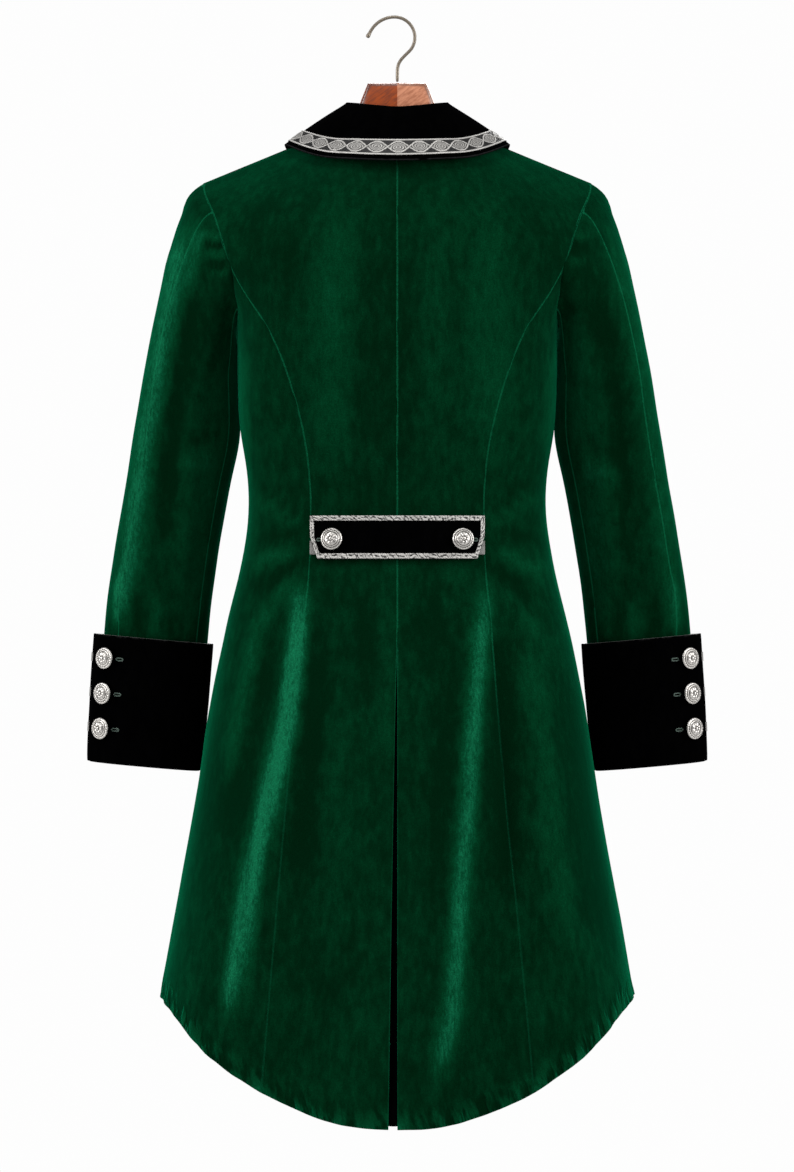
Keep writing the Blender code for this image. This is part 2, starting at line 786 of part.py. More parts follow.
def cuff_ring(height, inset):
    """Ring of a right cuff at a height below its top edge."""
    share = height / (CUFF_TOP - CUFF_BOTTOM).length
    center = CUFF_TOP.lerp(CUFF_BOTTOM, share)
    half_width = mix(*CUFF_WIDTHS, share) - inset
    half_depth = mix(*CUFF_DEPTHS, share) - inset
    if inset >= CUFF_LIP:
        return sleeve_ring(center.z, SEAT_GAP)
    return flat_ring(center, half_width, half_depth, CUFF_TILT)


def cuff_point(height, angle):
    """Point on the flat between two columns of the cuff's outer face, and the direction out of it."""
    angles = sleeve_angles() + [360]
    angle %= 360
    i = max(k for k in range(len(angles) - 1) if angles[k] <= angle)
    ring, lower = cuff_ring(height, 0), cuff_ring(height + 1, 0)
    j = (i + 1) % len(ring)
    t = (angle - angles[i]) / (angles[i + 1] - angles[i])
    normal = (ring[j] - ring[i]).cross(lower[i] - ring[i]).normalized()
    return ring[i].lerp(ring[j], t), normal


def build_cuff(side):
    name = side_name(side)
    rings = [[on_side(p, side) for p in cuff_ring(row.height, row.inset)] for row in CUFF_PROFILE]
    ring_loft("cuff_" + name, rings, "black_velvet")
    rim = [on_side(p, side) for p in cuff_ring(-PIPING_RADIUS - SEAT_GAP, 1.5)]
    make_wire("cuff_piping_" + name, rim, PIPING_RADIUS, "silver_braid", closed=True, roundness=1)
    for number, height in enumerate(CUFF_BUTTON_HEIGHTS, start=1):
        build_cuff_tab(f"cuff_tab_{name}_{number}", height, side)
        point, normal = cuff_point(height, CUFF_BUTTON_ANGLE)
        place = on_side(point + normal * (SEAT_GAP + CUFF_BULGE), side)
        place_button(f"cuff_button_{name}_{number}", place, on_side(normal, side))


def build_cuff_tab(name, height, side):
    """Short braid end that wraps the outer edge of the cuff beside a button."""
    outer, inner = [], []
    for level in (-TAB_HEIGHT / 2, TAB_HEIGHT / 2):
        outer.append([])
        inner.append([])
        for angle in (-TAB_ANGLE, 0, TAB_ANGLE):
            here = height + level
            center = CUFF_TOP.lerp(CUFF_BOTTOM, here / (CUFF_TOP - CUFF_BOTTOM).length)
            point = cuff_point(here, angle)[0]
            out = (point - center).normalized()
            lift = CUFF_BULGE + SEAT_GAP
            inner[-1].append(on_side(point + out * lift, side))
            outer[-1].append(on_side(point + out * (lift + TAB_THICKNESS), side))
    cloth_wall(name, outer, inner, "silver_braid")


def collar_stations():
    """How far round the neck each collar column is: 0 centre back, 1 the shoulder, 2 centre front."""
    half = [i / COLLAR_COLUMNS for i in range(1, int(COLLAR[-1].turn * COLLAR_COLUMNS) + 1)]
    return [-turn for turn in reversed(half)] + [0.0] + half


def neck_point(turn):
    """Point of the neckline's straight-sided line, as the panels' columns make it."""
    face = -1 if turn <= 1 else 1
    share = turn if turn <= 1 else 2 - turn
    columns = CENTER_COLUMNS * NECK_SHARE
    low = int(min(share * columns, columns - 1))
    start, end = (top_line(k / CENTER_COLUMNS, face) for k in (low, low + 1))
    return start.lerp(end, share * columns - low)


def collar_path(turn):
    """Middle line of the collar's section: up the stand, over the fold and down the fall."""
    far = abs(turn)
    fold = Vector([read_table(COLLAR_ROUND, "turn", "fold_" + axis, far) for axis in "xyz"])
    edge = Vector([read_table(COLLAR_ROUND, "turn", "edge_" + axis, far) for axis in "xyz"])
    neck = neck_point(far)
    stand = (fold - neck).normalized()
    out = Vector((edge.x - fold.x, edge.y - fold.y, 0)).normalized()
    start = neck + stand * (SEAM_GAP + 0.3)
    inner = fold - out * COLLAR_LOOP - Vector((0, 0, COLLAR_LOOP))
    outer = fold + out * COLLAR_LOOP - Vector((0, 0, COLLAR_LOOP))
    fall = edge - outer
    length = fall.length
    marks = (0.0, 0.3, 1 - (BRAID_MARGIN + BRAID_WIDTH) / length, 1 - BRAID_MARGIN / length, 1.0)
    up = Vector((0, 0, 1))
    bow = (up - fall.normalized() * up.dot(fall.normalized())).normalized()
    down = [outer + fall * mark + bow * COLLAR_BULGE * 4 * mark * (1 - mark) for mark in marks]
    path = [start, start.lerp(inner, 0.5), inner, fold] + down
    return [on_side(p, copysign(1, turn)) for p in path]


def collar_grid():
    columns = [collar_path(turn) for turn in collar_stations()]
    points = [[column[i] for column in columns] for i in range(len(columns[0]))]
    return points, grid_normals(points)


def build_collar():
    points, normals = collar_grid()
    half = COLLAR_THICKNESS / 2
    cloth_wall("collar", moved(points, normals, -half), moved(points, normals, half), "black_velvet")
    rows = slice(-3, -1)
    band = [row[1:-1] for row in points[rows]]
    out = [row[1:-1] for row in normals[rows]]
    low = moved(band, out, -half - SEAM_GAP)
    cloth_wall("collar_braid", moved(low, out, -BRAID_THICKNESS), low, "silver_braid")


def belt_half(z):
    return read_table(BELT, "z", "half", z)


def build_belt():
    rows = [[surface_at(mix(-belt_half(row.z), belt_half(row.z), j / BELT_COLUMNS), row.z, -1, BELT_LIFT)
             for j in range(BELT_COLUMNS + 1)] for row in BELT]
    inner = [[point for point, _ in row] for row in rows]
    normals = [[normal for _, normal in row] for row in rows]
    cloth_wall("half_belt", moved(inner, normals, BELT_THICKNESS), inner, "black_velvet")
    build_belt_braid()
    for side in (RIGHT, LEFT):
        build_belt_tab(side)
        lift = BELT_LIFT + BELT_THICKNESS + SEAT_GAP
        place, normal = surface_at(side * BELT_BUTTON_X, BELT_BUTTON_Z, -1, lift)
        place_button("belt_button_" + side_name(side), place, normal)


def belt_outline(inset_end, inset_side):
    """Corners and even steps round the belt's outline, drawn in by the braid's widths."""
    top, bottom = BELT[0].z - inset_side, BELT[-1].z + inset_side
    levels = [mix(top, bottom, i / 4) for i in range(5)]
    half = [belt_half(z) - inset_end for z in levels]
    steps = [-1 + 2 * j / BELT_COLUMNS for j in range(BELT_COLUMNS + 1)]
    line = [(step * half[0], top) for step in steps]
    line += [(half[i], levels[i]) for i in range(1, 4)]
    line += [(-step * half[4], bottom) for step in steps]
    line += [(-half[i], levels[i]) for i in range(3, 0, -1)]
    return line


def build_belt_braid():
    """Braid edging round the belt's face."""
    base = BELT_LIFT + BELT_THICKNESS + SEAM_GAP
    rings = []
    for inset_end, inset_side, lift in (
        (0.2, 0.2, base),
        (0.2, 0.2, base + BRAID_THICKNESS),
        (BELT_BRAID_SIDE, BELT_BRAID_WIDTH, base + BRAID_THICKNESS),
        (BELT_BRAID_SIDE, BELT_BRAID_WIDTH, base),
    ):
        rings.append([surface_at(x, z, -1, lift)[0] for x, z in belt_outline(inset_end, inset_side)])
    ring_loft("belt_braid", rings, "silver_braid")


def build_belt_tab(side):
    """Braid end that shows past the belt's corner and lies under it."""
    near, far = BELT_TAB_REACH
    rows = [[surface_at(side * x, z, -1, BELT_TAB_LIFT) for x in (near, (near + far) / 2, far)]
            for z in BELT_TAB_Z]
    inner = [[point for point, _ in row] for row in rows]
    normals = [[normal for _, normal in row] for row in rows]
    outer = moved(inner, normals, BELT_LIFT - BELT_TAB_LIFT - SEAT_GAP)
    cloth_wall("belt_tab_" + side_name(side), outer, inner, "silver_braid")


def button_mesh():
    """Half section of a button as an edge line, for the Screw modifier to turn."""
    mesh = bpy.data.meshes.new("button")
    line = [(row.radius * MM, 0, row.height * MM) for row in BUTTON_PROFILE]
    mesh.from_pydata(line, [(i, i + 1) for i in range(len(line) - 1)], [])
    return mesh


def place_button(name, place, normal):
    button = add_object(name, button_mesh(), "silver_metal")
    turn = button.modifiers.new("turned", "SCREW")
    turn.steps = turn.render_steps = BUTTON_SIDES
    turn.use_merge_vertices = True
    turn.merge_threshold = 0.00001
    turn.use_smooth_shade = True
    button.matrix_world = Matrix.Translation(place * MM) @ normal.to_track_quat("Z", "Y").to_matrix().to_4x4()


def build_front_buttons():
    """Buttons down the right front, seated on its centre column."""
    points, _ = center_panel(1, RIGHT)
    line = [row[1] for row in points]
    for number, z in enumerate(FRONT_BUTTON_HEIGHTS, start=1):
        upper, lower = next(pair for pair in zip(line, line[1:]) if pair[1].z < z)
        seat = upper.lerp(lower, (upper.z - z) / (upper.z - lower.z))
        flat = (upper - lower).cross(Vector((1, 0, 0))).normalized()
        place_button(f"front_button_{number}", seat + flat * SEAT_GAP, flat)


def make_wire(name, points, radius, finish, closed=False, roundness=2, swell=()):
    """Round wire through points; swell thickens its last ones."""
    curve = bpy.data.curves.new(name, "CURVE")
    curve.dimensions = "3D"
    curve.bevel_depth = radius * MM
    curve.bevel_resolution = roundness
    curve.use_fill_caps = True
    spline = curve.splines.new("POLY")
    spline.points.add(len(points) - 1)
    for knot, point in zip(spline.points, points):
        knot.co = (*(point * MM), 1)
    for knot, factor in zip(reversed(spline.points), swell):
        knot.radius = factor
    spline.use_cyclic_u = closed
    curve.materials.append(MATERIALS[finish])
    COAT.objects.link(bpy.data.objects.new(name, curve))


def hook_points():
    """The hook's middle line from the stem up, round the circle and out to the ball tip."""
    x0, z0 = HOOK_CENTER
    route = [Vector((x, 0, z)) for x, z in reversed(HOOK_BEND)]
    for step in range(HOOK_STEPS + 1):
        angle = mix(HOOK_END_ANGLE, HOOK_TIP_ANGLE, step / HOOK_STEPS)
        widen = max(angle - 90, 0) / (HOOK_TIP_ANGLE - 90)
        radius = mix(HOOK_RADIUS, HOOK_TIP_RADIUS, widen ** 2)
        route.append(Vector((x0 + radius * cos(radians(angle)), 0, z0 + radius * sin(radians(angle)))))
    tip, before = route[-1], route[-2]
    way = (tip - before).normalized()
    return route + [tip + way * step for step in (1.2, 3.6, 4.6)]


def build_hanger():
    make_wire("hanger_hook", hook_points(), HOOK_WIRE, "hook_steel", swell=(0.8, HOOK_BALL, HOOK_BALL))
    for side in (RIGHT, LEFT):
        build_arm(side)


def shoulder_z(x):
    """Height of the shoulder seam."""
    return mix(NECK_SIDE.z, SHOULDER_TIP.z, (x - NECK_SIDE.x) / (SHOULDER_TIP.x - NECK_SIDE.x))


def build_arm(side):
    """Half of the hanger: its outline, thickened, rounded and swept forward to its end."""
    name = "hanger_arm_" + side_name(side)
    shape = bmesh.new()
    near, far = HANGER_SEAT_XS[0], HANGER_SEAT_XS[-1]
    seat = [ArmPoint(x, shoulder_z(x) - mix(*HANGER_DROPS, (x - near) / (far - near))) for x in HANGER_SEAT_XS]
    line = [*HANGER_NECK, *seat, *HANGER_END]
    corners = [shape.verts.new((point.x, -HANGER_HALF_THICKNESS, point.z)) for point in line]
    outline = shape.faces.new(corners)
    grown = bmesh.ops.extrude_face_region(shape, geom=[outline])["geom"]
    risen = [item for item in grown if isinstance(item, bmesh.types.BMVert)]
    bmesh.ops.translate(shape, verts=risen, vec=(0, 2 * HANGER_HALF_THICKNESS, 0))
    flat_end = line[0].x + 0.01
    long_edges = [edge for edge in shape.edges
                  if abs(edge.verts[0].co.y - edge.verts[1].co.y) < 1
                  and max(vert.co.x for vert in edge.verts) > flat_end]
    bmesh.ops.bevel(shape, geom=long_edges, offset=HANGER_BEVEL, segments=2, profile=0.5,
                    affect="EDGES", clamp_overlap=True)
    for vert in shape.verts:
        vert.co.y += HANGER_SWEEP * max(vert.co.x / HANGER_REACH, 0) ** 0.7
        vert.co.x *= side
    bmesh.ops.scale(shape, vec=(MM, MM, MM), verts=shape.verts)
    bmesh.ops.recalc_face_normals(shape, faces=shape.faces)
    mesh = bpy.data.meshes.new(name)
    shape.to_mesh(mesh)
    shape.free()
    mesh.shade_smooth()
    mesh.set_sharp_from_angle(angle=radians(35))
    add_object(name, mesh, "hanger_wood")


def build_coat():
    build_collar()
    build_belt()
    build_slit_underlay()
    build_front_buttons()
    build_hanger()
    for side in (RIGHT, LEFT):
        build_back(side)
        build_front(side)
        build_sleeve(side)
        build_cuff(side)


clear_scene()
COAT = bpy.data.collections.new("velvet_tail_coat")
bpy.context.scene.collection.children.link(COAT)
MATERIALS = {name: make_material(name) for name in FINISHES}
build_coat()
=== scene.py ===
"""Green velvet tail coat on a wooden hanger, seen from the back.

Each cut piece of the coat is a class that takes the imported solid's form, lays the
creases, seams and trim of the real cloth on it, and gives it its finish.
"""

import logging
import math
from dataclasses import dataclass, field
from enum import Enum
from typing import Callable, Iterable, Optional, Sequence

import bmesh
import bpy
import numpy as np
from mathutils import Euler, Matrix, Vector, noise
from mathutils.bvhtree import BVHTree
from mathutils.kdtree import KDTree


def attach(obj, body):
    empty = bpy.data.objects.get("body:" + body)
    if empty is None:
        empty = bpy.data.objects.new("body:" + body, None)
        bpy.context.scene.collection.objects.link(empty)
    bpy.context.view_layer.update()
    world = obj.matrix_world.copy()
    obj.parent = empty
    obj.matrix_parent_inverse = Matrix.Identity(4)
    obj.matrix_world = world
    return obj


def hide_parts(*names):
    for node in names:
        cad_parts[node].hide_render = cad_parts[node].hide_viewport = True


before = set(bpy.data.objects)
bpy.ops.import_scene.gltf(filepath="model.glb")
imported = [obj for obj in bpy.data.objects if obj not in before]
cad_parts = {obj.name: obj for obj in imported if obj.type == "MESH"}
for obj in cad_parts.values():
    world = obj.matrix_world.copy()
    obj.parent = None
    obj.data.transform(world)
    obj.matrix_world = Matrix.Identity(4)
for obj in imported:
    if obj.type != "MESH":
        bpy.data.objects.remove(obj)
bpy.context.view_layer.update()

MM = 0.001
MERGE = 0.00002
SHARP = math.radians(55)
FLAT_PAIR = math.radians(38)
SQUARE_PAIR = math.radians(70)
HEM_TOP = -0.94
HEM_BAND = 0.034
PUCKER_BAND = (0.03, 0.004)
NEAR_HEM = 0.026
LEVEL_EDGE = 0.55
STRIP_SIDE = 1.8 * MM
SIDES = ("left", "right")
LOG = logging.getLogger("coat")
Triple = tuple[float, float, float]
Socket = bpy.types.NodeSocket


class Face(Enum):
    """Which way the outer side of a stretch of cloth looks."""

    BACK = (0.0, -1.0)
    FRONT = (0.0, 1.0)


# Finishes


def dimmed(color: Triple, share: float) -> Triple:
    """A share of a colour's brightness."""
    return tuple(share * part for part in color)


class NodeNet:
    """A material's node tree, with short ways to add its nodes and join them."""

    def __init__(self, name: str) -> None:
        """Makes an empty material with an output node.

        Args:
            name: the material's name.
        """
        self.material = bpy.data.materials.new(name)
        self.material.use_nodes = True
        self.tree = self.material.node_tree
        self.tree.nodes.clear()
        self.output = self.tree.nodes.new("ShaderNodeOutputMaterial")

    def feed(self, socket: Socket, value: object) -> None:
        """Joins an output to a socket, or sets the socket to a number, a vector or a colour."""
        if isinstance(value, Socket):
            self.tree.links.new(value, socket)
        elif socket.type == "RGBA" and len(value) == 3:
            socket.default_value = (*value, 1)
        else:
            socket.default_value = value

    def add(self, kind: str, settings: Optional[dict] = None, **sockets: object) -> bpy.types.Node:
        """Adds a node.

        Args:
            kind: the node's Blender type.
            settings: the node's own properties.
            sockets: socket names, with _ for a blank, and a value or an output to join.

        Returns:
            The new node.
        """
        node = self.tree.nodes.new(kind)
        for key, value in (settings or {}).items():
            setattr(node, key, value)
        for key, value in sockets.items():
            self.feed(node.inputs[key.replace("_", " ")], value)
        return node

    def coords(self, scale: Triple = (1, 1, 1), turn: Triple = (0, 0, 0)) -> Socket:
        """Object coordinates, turned and then stretched.

        Args:
            scale: the factor along each axis.
            turn: the angle about each axis.

        Returns:
            The mapped coordinates.
        """
        place = self.add("ShaderNodeTexCoord").outputs["Object"]
        turned = self.add("ShaderNodeMapping", Vector=place, Rotation=turn).outputs["Vector"]
        return self.add("ShaderNodeMapping", Vector=turned, Scale=scale).outputs["Vector"]

    def attribute(self, name: str) -> Socket:
        """A value that the mesh carries at each point."""
        return self.add("ShaderNodeAttribute", {"attribute_name": name}).outputs["Fac"]

    def noise(self, vector: Socket, scale: float, detail: float = 3.0, roughness: float = 0.55) -> Socket:
        """Cloudy values about 0.5.

        Args:
            vector: the coordinates.
            scale: clouds per metre.
            detail: how many finer layers it has.
            roughness: how strong the finer layers are.

        Returns:
            The value.
        """
        return self.add("ShaderNodeTexNoise", Vector=vector, Scale=scale, Detail=detail,
                        Roughness=roughness).outputs["Fac"]

    def ramp(self, value: Socket, low: float, high: float, start: float = 0.0, end: float = 1.0) -> Socket:
        """A smooth step.

        Args:
            value: what is stepped.
            low: where the step starts.
            high: where it ends.
            start: the value below it.
            end: the value above it.

        Returns:
            The stepped value.
        """
        node = self.add("ShaderNodeMapRange", {"interpolation_type": "SMOOTHSTEP"}, Value=value)
        for socket, amount in zip(("From Min", "From Max", "To Min", "To Max"), (low, high, start, end)):
            node.inputs[socket].default_value = amount
        return node.outputs["Result"]

    def math(self, operation: str, first: object, second: object) -> Socket:
        """One arithmetic step on two values, each a number or an output."""
        node = self.add("ShaderNodeMath", {"operation": operation})
        self.feed(node.inputs[0], first)
        self.feed(node.inputs[1], second)
        return node.outputs[0]

    def plus(self, first: object, second: object) -> Socket:
        """The sum of two values."""
        return self.math("ADD", first, second)

    def times(self, first: object, second: object) -> Socket:
        """The product of two values."""
        return self.math("MULTIPLY", first, second)

    def mix(self, share: object, first: object, second: object) -> Socket:
        """Mixes two colours.

        Args:
            share: how much of the second.
            first: a colour or an output.
            second: a colour or an output.

        Returns:
            The colour.
        """
        node = self.add("ShaderNodeMix", {"data_type": "RGBA"})
        for index, value in zip((0, 6, 7), (share, first, second)):
            self.feed(node.inputs[index], value)
        return node.outputs[2]

    def bump(self, height: Socket, depth: float, under: Optional[Socket] = None) -> Socket:
        """A fine relief.

        Args:
            height: from 0 to 1.
            depth: how deep that is, in metres.
            under: another relief's normal.

        Returns:
            The normal.
        """
        node = self.add("ShaderNodeBump", Height=height, Distance=depth, Strength=1.0)
        if under is not None:
            self.feed(node.inputs["Normal"], under)
        return node.outputs["Normal"]

    def shade(self, **sockets: object) -> bpy.types.Material:
        """Joins a surface shader with these sockets to the output, and returns the material."""
        shader = self.add("ShaderNodeBsdfPrincipled", **sockets)
        self.tree.links.new(shader.outputs["BSDF"], self.output.inputs["Surface"])
        return self.material


@dataclass(frozen=True)
class Velvet:
    """A short-napped velvet, dark where the pile is seen end on and light across it."""

    name: str
    deep: Triple
    # light and edge are the lighter tones of the pile and also carry the painted highlights; edge is the
    # painted highlight colour of the brightest creases and of the seam lines.
    light: Triple
    edge: Triple
    glow: Triple
    glow_weight: float
    glow_roughness: float
    # How strong the painted highlight along the seams is.
    seam_highlight: float

    def build(self) -> bpy.types.Material:
        """Makes the material: crushed clouds in the pile, fine pile, painted highlight and shade along the
        creases and hem puckers, and painted highlight lines along the seams.

        Returns:
            The material.
        """
        net = NodeNet(self.name)
        height = net.add("ShaderNodeSeparateXYZ", Vector=net.coords()).outputs["Z"]
        crush = net.noise(net.coords((1, 1, 0.75)), 20, 5, 0.62)
        brushed = net.noise(net.coords((1, 1, 0.45)), 120, 3, 0.6)
        pile = net.noise(net.coords(), 760, 2, 0.7)
        near_hem = net.attribute("near_hem")
        puckers = net.noise(net.coords((1, 1, 0.32), (0, 0.3, 0)), 95, 2)
        hem = net.times(near_hem, net.ramp(puckers, 0.38, 0.64))
        nap = self.nap(net, crush, brushed, hem, near_hem)
        # Deep to light to edge colour by the pile's crushed clouds, plus the painted highlight and shade of
        # the creases and hem puckers.
        color = net.mix(net.ramp(nap, 0.24, 0.54), self.deep, self.light)
        color = net.mix(net.ramp(nap, 0.46, 1.0), color, self.edge)
        color = net.mix(net.ramp(pile, 0.34, 0.68, 0.42, 0.0), color, dimmed(self.deep, 0.5))
        # Painted highlight lines along the seams, in the edge colour.
        color = net.mix(self.painted_seam_highlight(net, height), color, self.edge)
        relief = net.bump(hem, 0.004)
        for layer, depth in ((crush, 0.0010), (brushed, 0.0003), (pile, 0.00016)):
            relief = net.bump(layer, depth, relief)
        return net.shade(Base_Color=color, Roughness=0.85, Normal=relief, Sheen_Weight=self.glow_weight,
                         Sheen_Roughness=self.glow_roughness, Sheen_Tint=self.glow, Specular_IOR_Level=0.0)

    @staticmethod
    def nap(net: NodeNet, crush: Socket, brushed: Socket, hem: Socket, near_hem: Socket) -> Socket:
        """How light the velvet looks: crushed clouds in the pile, plus painted highlight and shade along the
        creases and on the hem's puckers.

        Args:
            net: the material's nodes.
            crush: broad clouds.
            brushed: narrow upright clouds.
            hem: the puckers, strongest at the hem.
            near_hem: 1 at the hem, and 0 away from it.

        Returns:
            The value.
        """
        fibres = net.noise(net.coords((1, 1, 0.3)), 480, 3, 0.65)
        clouds = net.plus(net.times(crush, 0.4), net.times(brushed, 0.6))
        # The creases' stored value is painted highlight and shade.
        painted_crease_light = net.times(net.attribute("nap"), net.ramp(fibres, 0.3, 0.7, 0.7, 1.22))
        nap = net.plus(net.plus(net.times(clouds, 0.56), 0.06), painted_crease_light)
        # Painted highlight and shade on the hem's puckers: lighter on them, darker between them near the hem.
        return net.plus(nap, net.math("SUBTRACT", net.times(hem, 0.36), net.times(near_hem, 0.12)))

    def painted_seam_highlight(self, net: NodeNet, height: Socket) -> Socket:
        """A painted highlight: a ragged light line along each seam, fainter down the skirt."""
        seam = net.attribute("seam")
        ragged = net.plus(seam, net.times(net.noise(net.coords(), 420, 2), 0.0012))
        line = net.times(net.ramp(ragged, 0.0008, 0.0018, 1.0, 0.0), net.ramp(seam, 0.0001, 0.0004))
        return net.times(line, net.ramp(height, -0.74, -0.63, 0.35 * self.seam_highlight, self.seam_highlight))


@dataclass(frozen=True)
class Braid:
    """Woven metal thread, silver where it stands up and black in its gaps."""

    name: str
    silver: Triple
    dark: Triple
    threads: float

    def build(self) -> bpy.types.Material:
        """Makes the material: fine threads across the piece, darker where the weave lies low.

        Returns:
            The material.
        """
        net = NodeNet(self.name)
        thread = net.noise(net.coords(), self.threads, 2, 0.6)
        tarnish = net.noise(net.coords(), 60, 3)
        bright = net.mix(net.ramp(tarnish, 0.3, 0.75), self.silver, dimmed(self.silver, 0.78))
        bright = net.mix(net.ramp(thread, 0.35, 0.6), dimmed(self.silver, 0.5), bright)
        raised = net.attribute("raised")
        color = net.mix(net.ramp(raised, 0.1, 0.9), self.dark, bright)
        return net.shade(Base_Color=color, Roughness=0.46, Normal=net.bump(thread, 0.00025),
                         Metallic=net.ramp(raised, 0.2, 0.6, 0, 0.25), Specular_IOR_Level=0.2)


@dataclass(frozen=True)
class Metal:
    """Cast silver-coloured metal, darkened in its hollows."""

    name: str
    bright: Triple
    dark: Triple
    roughness: float

    def build(self) -> bpy.types.Material:
        """Makes the material: polish with fine scratches, and patina in the hollows.

        Returns:
            The material.
        """
        net = NodeNet(self.name)
        wear = net.noise(net.coords(), 420, 4, 0.6)
        hollow = net.plus(net.attribute("raised"), net.times(wear, 0.35))
        color = net.mix(net.ramp(hollow, 0.35, 0.85), self.dark, self.bright)
        rough = net.ramp(wear, 0.3, 0.8, self.roughness * 0.75, self.roughness * 1.5)
        return net.shade(Base_Color=color, Roughness=rough, Normal=net.bump(wear, 0.00012), Metallic=1.0)


@dataclass(frozen=True)
class Wood:
    """Red-brown wood with a slanting grain and painted shade along its edges, under satin lacquer."""

    name: str
    early: Triple
    late: Triple

    def build(self) -> bpy.types.Material:
        """Makes the material: grain, pores, painted shade along the edges, and lacquer.

        Returns:
            The material.
        """
        net = NodeNet(self.name)
        drift = net.noise(net.coords(), 14, 3)
        grain = net.noise(net.coords((0.16, 1, 1), (0, 0.62, 0)), 420, 4, 0.62)
        pores = net.noise(net.coords((0.08, 1, 1), (0, 0.5, 0)), 900, 2, 0.7)
        color = net.mix(net.ramp(grain, 0.35, 0.7), self.early, self.late)
        color = net.mix(net.ramp(drift, 0.3, 0.8, 0, 0.4), color, self.late)
        color = net.mix(net.ramp(pores, 0.62, 0.75, 0, 0.5), color, dimmed(self.late, 0.4))
        # Painted shade along the bevelled edges.
        edge = net.ramp(net.attribute("seam"), 0.0012, 0.0034, 0.75, 0.0)
        color = net.mix(edge, color, dimmed(self.late, 0.3))
        return net.shade(Base_Color=color, Roughness=net.ramp(grain, 0.3, 0.8, 0.3, 0.42),
                         Normal=net.bump(pores, 0.00008), Coat_Weight=0.12, Coat_Roughness=0.25)


@dataclass(frozen=True)
class Wire:
    """Plated hook wire."""

    name: str
    color: Triple

    def build(self) -> bpy.types.Material:
        """Makes the material: plating with faint dulling."""
        net = NodeNet(self.name)
        dull = net.noise(net.coords(), 45, 3)
        color = net.mix(net.ramp(dull, 0.3, 0.75), self.color, dimmed(self.color, 0.86))
        return net.shade(Base_Color=color, Roughness=net.ramp(dull, 0.3, 0.8, 0.44, 0.5), Metallic=0.85)


@dataclass(frozen=True)
class Thread:
    """Twisted buttonhole thread."""

    name: str
    color: Triple

    def build(self) -> bpy.types.Material:
        """Makes the material: thread with a fine twist and soft gloss."""
        net = NodeNet(self.name)
        twist = net.noise(net.coords(), 2600, 2)
        color = net.mix(net.ramp(twist, 0.3, 0.7), self.color, dimmed(self.color, 0.4))
        return net.shade(Base_Color=color, Roughness=0.55, Normal=net.bump(twist, 0.0002), Sheen_Weight=0.3)


# Each velvet's edge colour is a painted highlight, laid on the brightest creases and along the seams.
GREEN = Velvet("green_velvet_nap", deep=(0.0003, 0.0074, 0.0022), light=(0.0006, 0.0255, 0.0085),
               edge=(0.0040, 0.100, 0.043), glow=(0.012, 1.0, 0.44), glow_weight=0.12, glow_roughness=0.42,
               seam_highlight=0.5)
BLACK = Velvet("black_velvet_nap", deep=(0.0003, 0.0003, 0.00035), light=(0.0008, 0.0008, 0.0009),
               edge=(0.05, 0.05, 0.052), glow=(0.35, 0.35, 0.4), glow_weight=0.012, glow_roughness=0.30,
               seam_highlight=0.22)
SILVER_BRAID = Braid("silver_braid_weave", (0.46, 0.447, 0.425), (0.006, 0.006, 0.006), 1900)
SILVER_METAL = Metal("silver_metal_cast", (0.385, 0.37, 0.35), (0.05, 0.047, 0.043), 0.42)
# One wood twice: a painted-shade copy for the left arm and a painted-highlight copy for the right.
PAINTED_SHADE_WOOD = Wood("hanger_wood_painted_shade", (0.25, 0.043, 0.004), (0.115, 0.018, 0.002))
PAINTED_HIGHLIGHT_WOOD = Wood("hanger_wood_painted_highlight", (0.44, 0.185, 0.105), (0.25, 0.085, 0.04))
HOOK_STEEL = Wire("hook_steel_plated", (0.17, 0.145, 0.115))
GREEN_THREAD = Thread("green_buttonhole_thread", (0.003, 0.035, 0.018))
BASE = bpy.data.materials.new("base")


# Mesh steps


def merged_copy(node: str) -> bmesh.types.BMesh:
    """A copy of a solid with its points merged and its flat triangles joined.

    Args:
        node: the solid's name.

    Returns:
        The copy.
    """
    mesh = bmesh.new()
    mesh.from_mesh(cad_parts[node].data)
    bmesh.ops.remove_doubles(mesh, verts=mesh.verts, dist=MERGE)
    bmesh.ops.join_triangles(mesh, faces=mesh.faces, angle_face_threshold=FLAT_PAIR,
                             angle_shape_threshold=SQUARE_PAIR)
    return mesh


def to_object(mesh: bmesh.types.BMesh, name: str, material: bpy.types.Material) -> bpy.types.Object:
    """Writes a bmesh to a new smooth-shaded object.

    Args:
        mesh: the bmesh, which is freed.
        name: the object's name.
        material: its finish.

    Returns:
        The object.
    """
    data = bpy.data.meshes.new(name)
    for face in mesh.faces:
        face.smooth = True
    mesh.to_mesh(data)
    mesh.free()
    data.materials.append(material)
    piece = bpy.data.objects.new(name, data)
    bpy.context.scene.collection.objects.link(piece)
    return piece


def modified(piece: bpy.types.Object) -> bpy.types.Mesh:
    """A new mesh with a piece's modifiers applied."""
    return bpy.data.meshes.new_from_object(piece.evaluated_get(bpy.context.evaluated_depsgraph_get()))


def taken_back(piece: bpy.types.Object) -> bmesh.types.BMesh:
    """A bmesh of a piece with its modifiers applied; the piece is removed."""
    fine = modified(piece)
    bpy.data.objects.remove(piece)
    made = bmesh.new()
    made.from_mesh(fine)
    bpy.data.meshes.remove(fine)
    return made


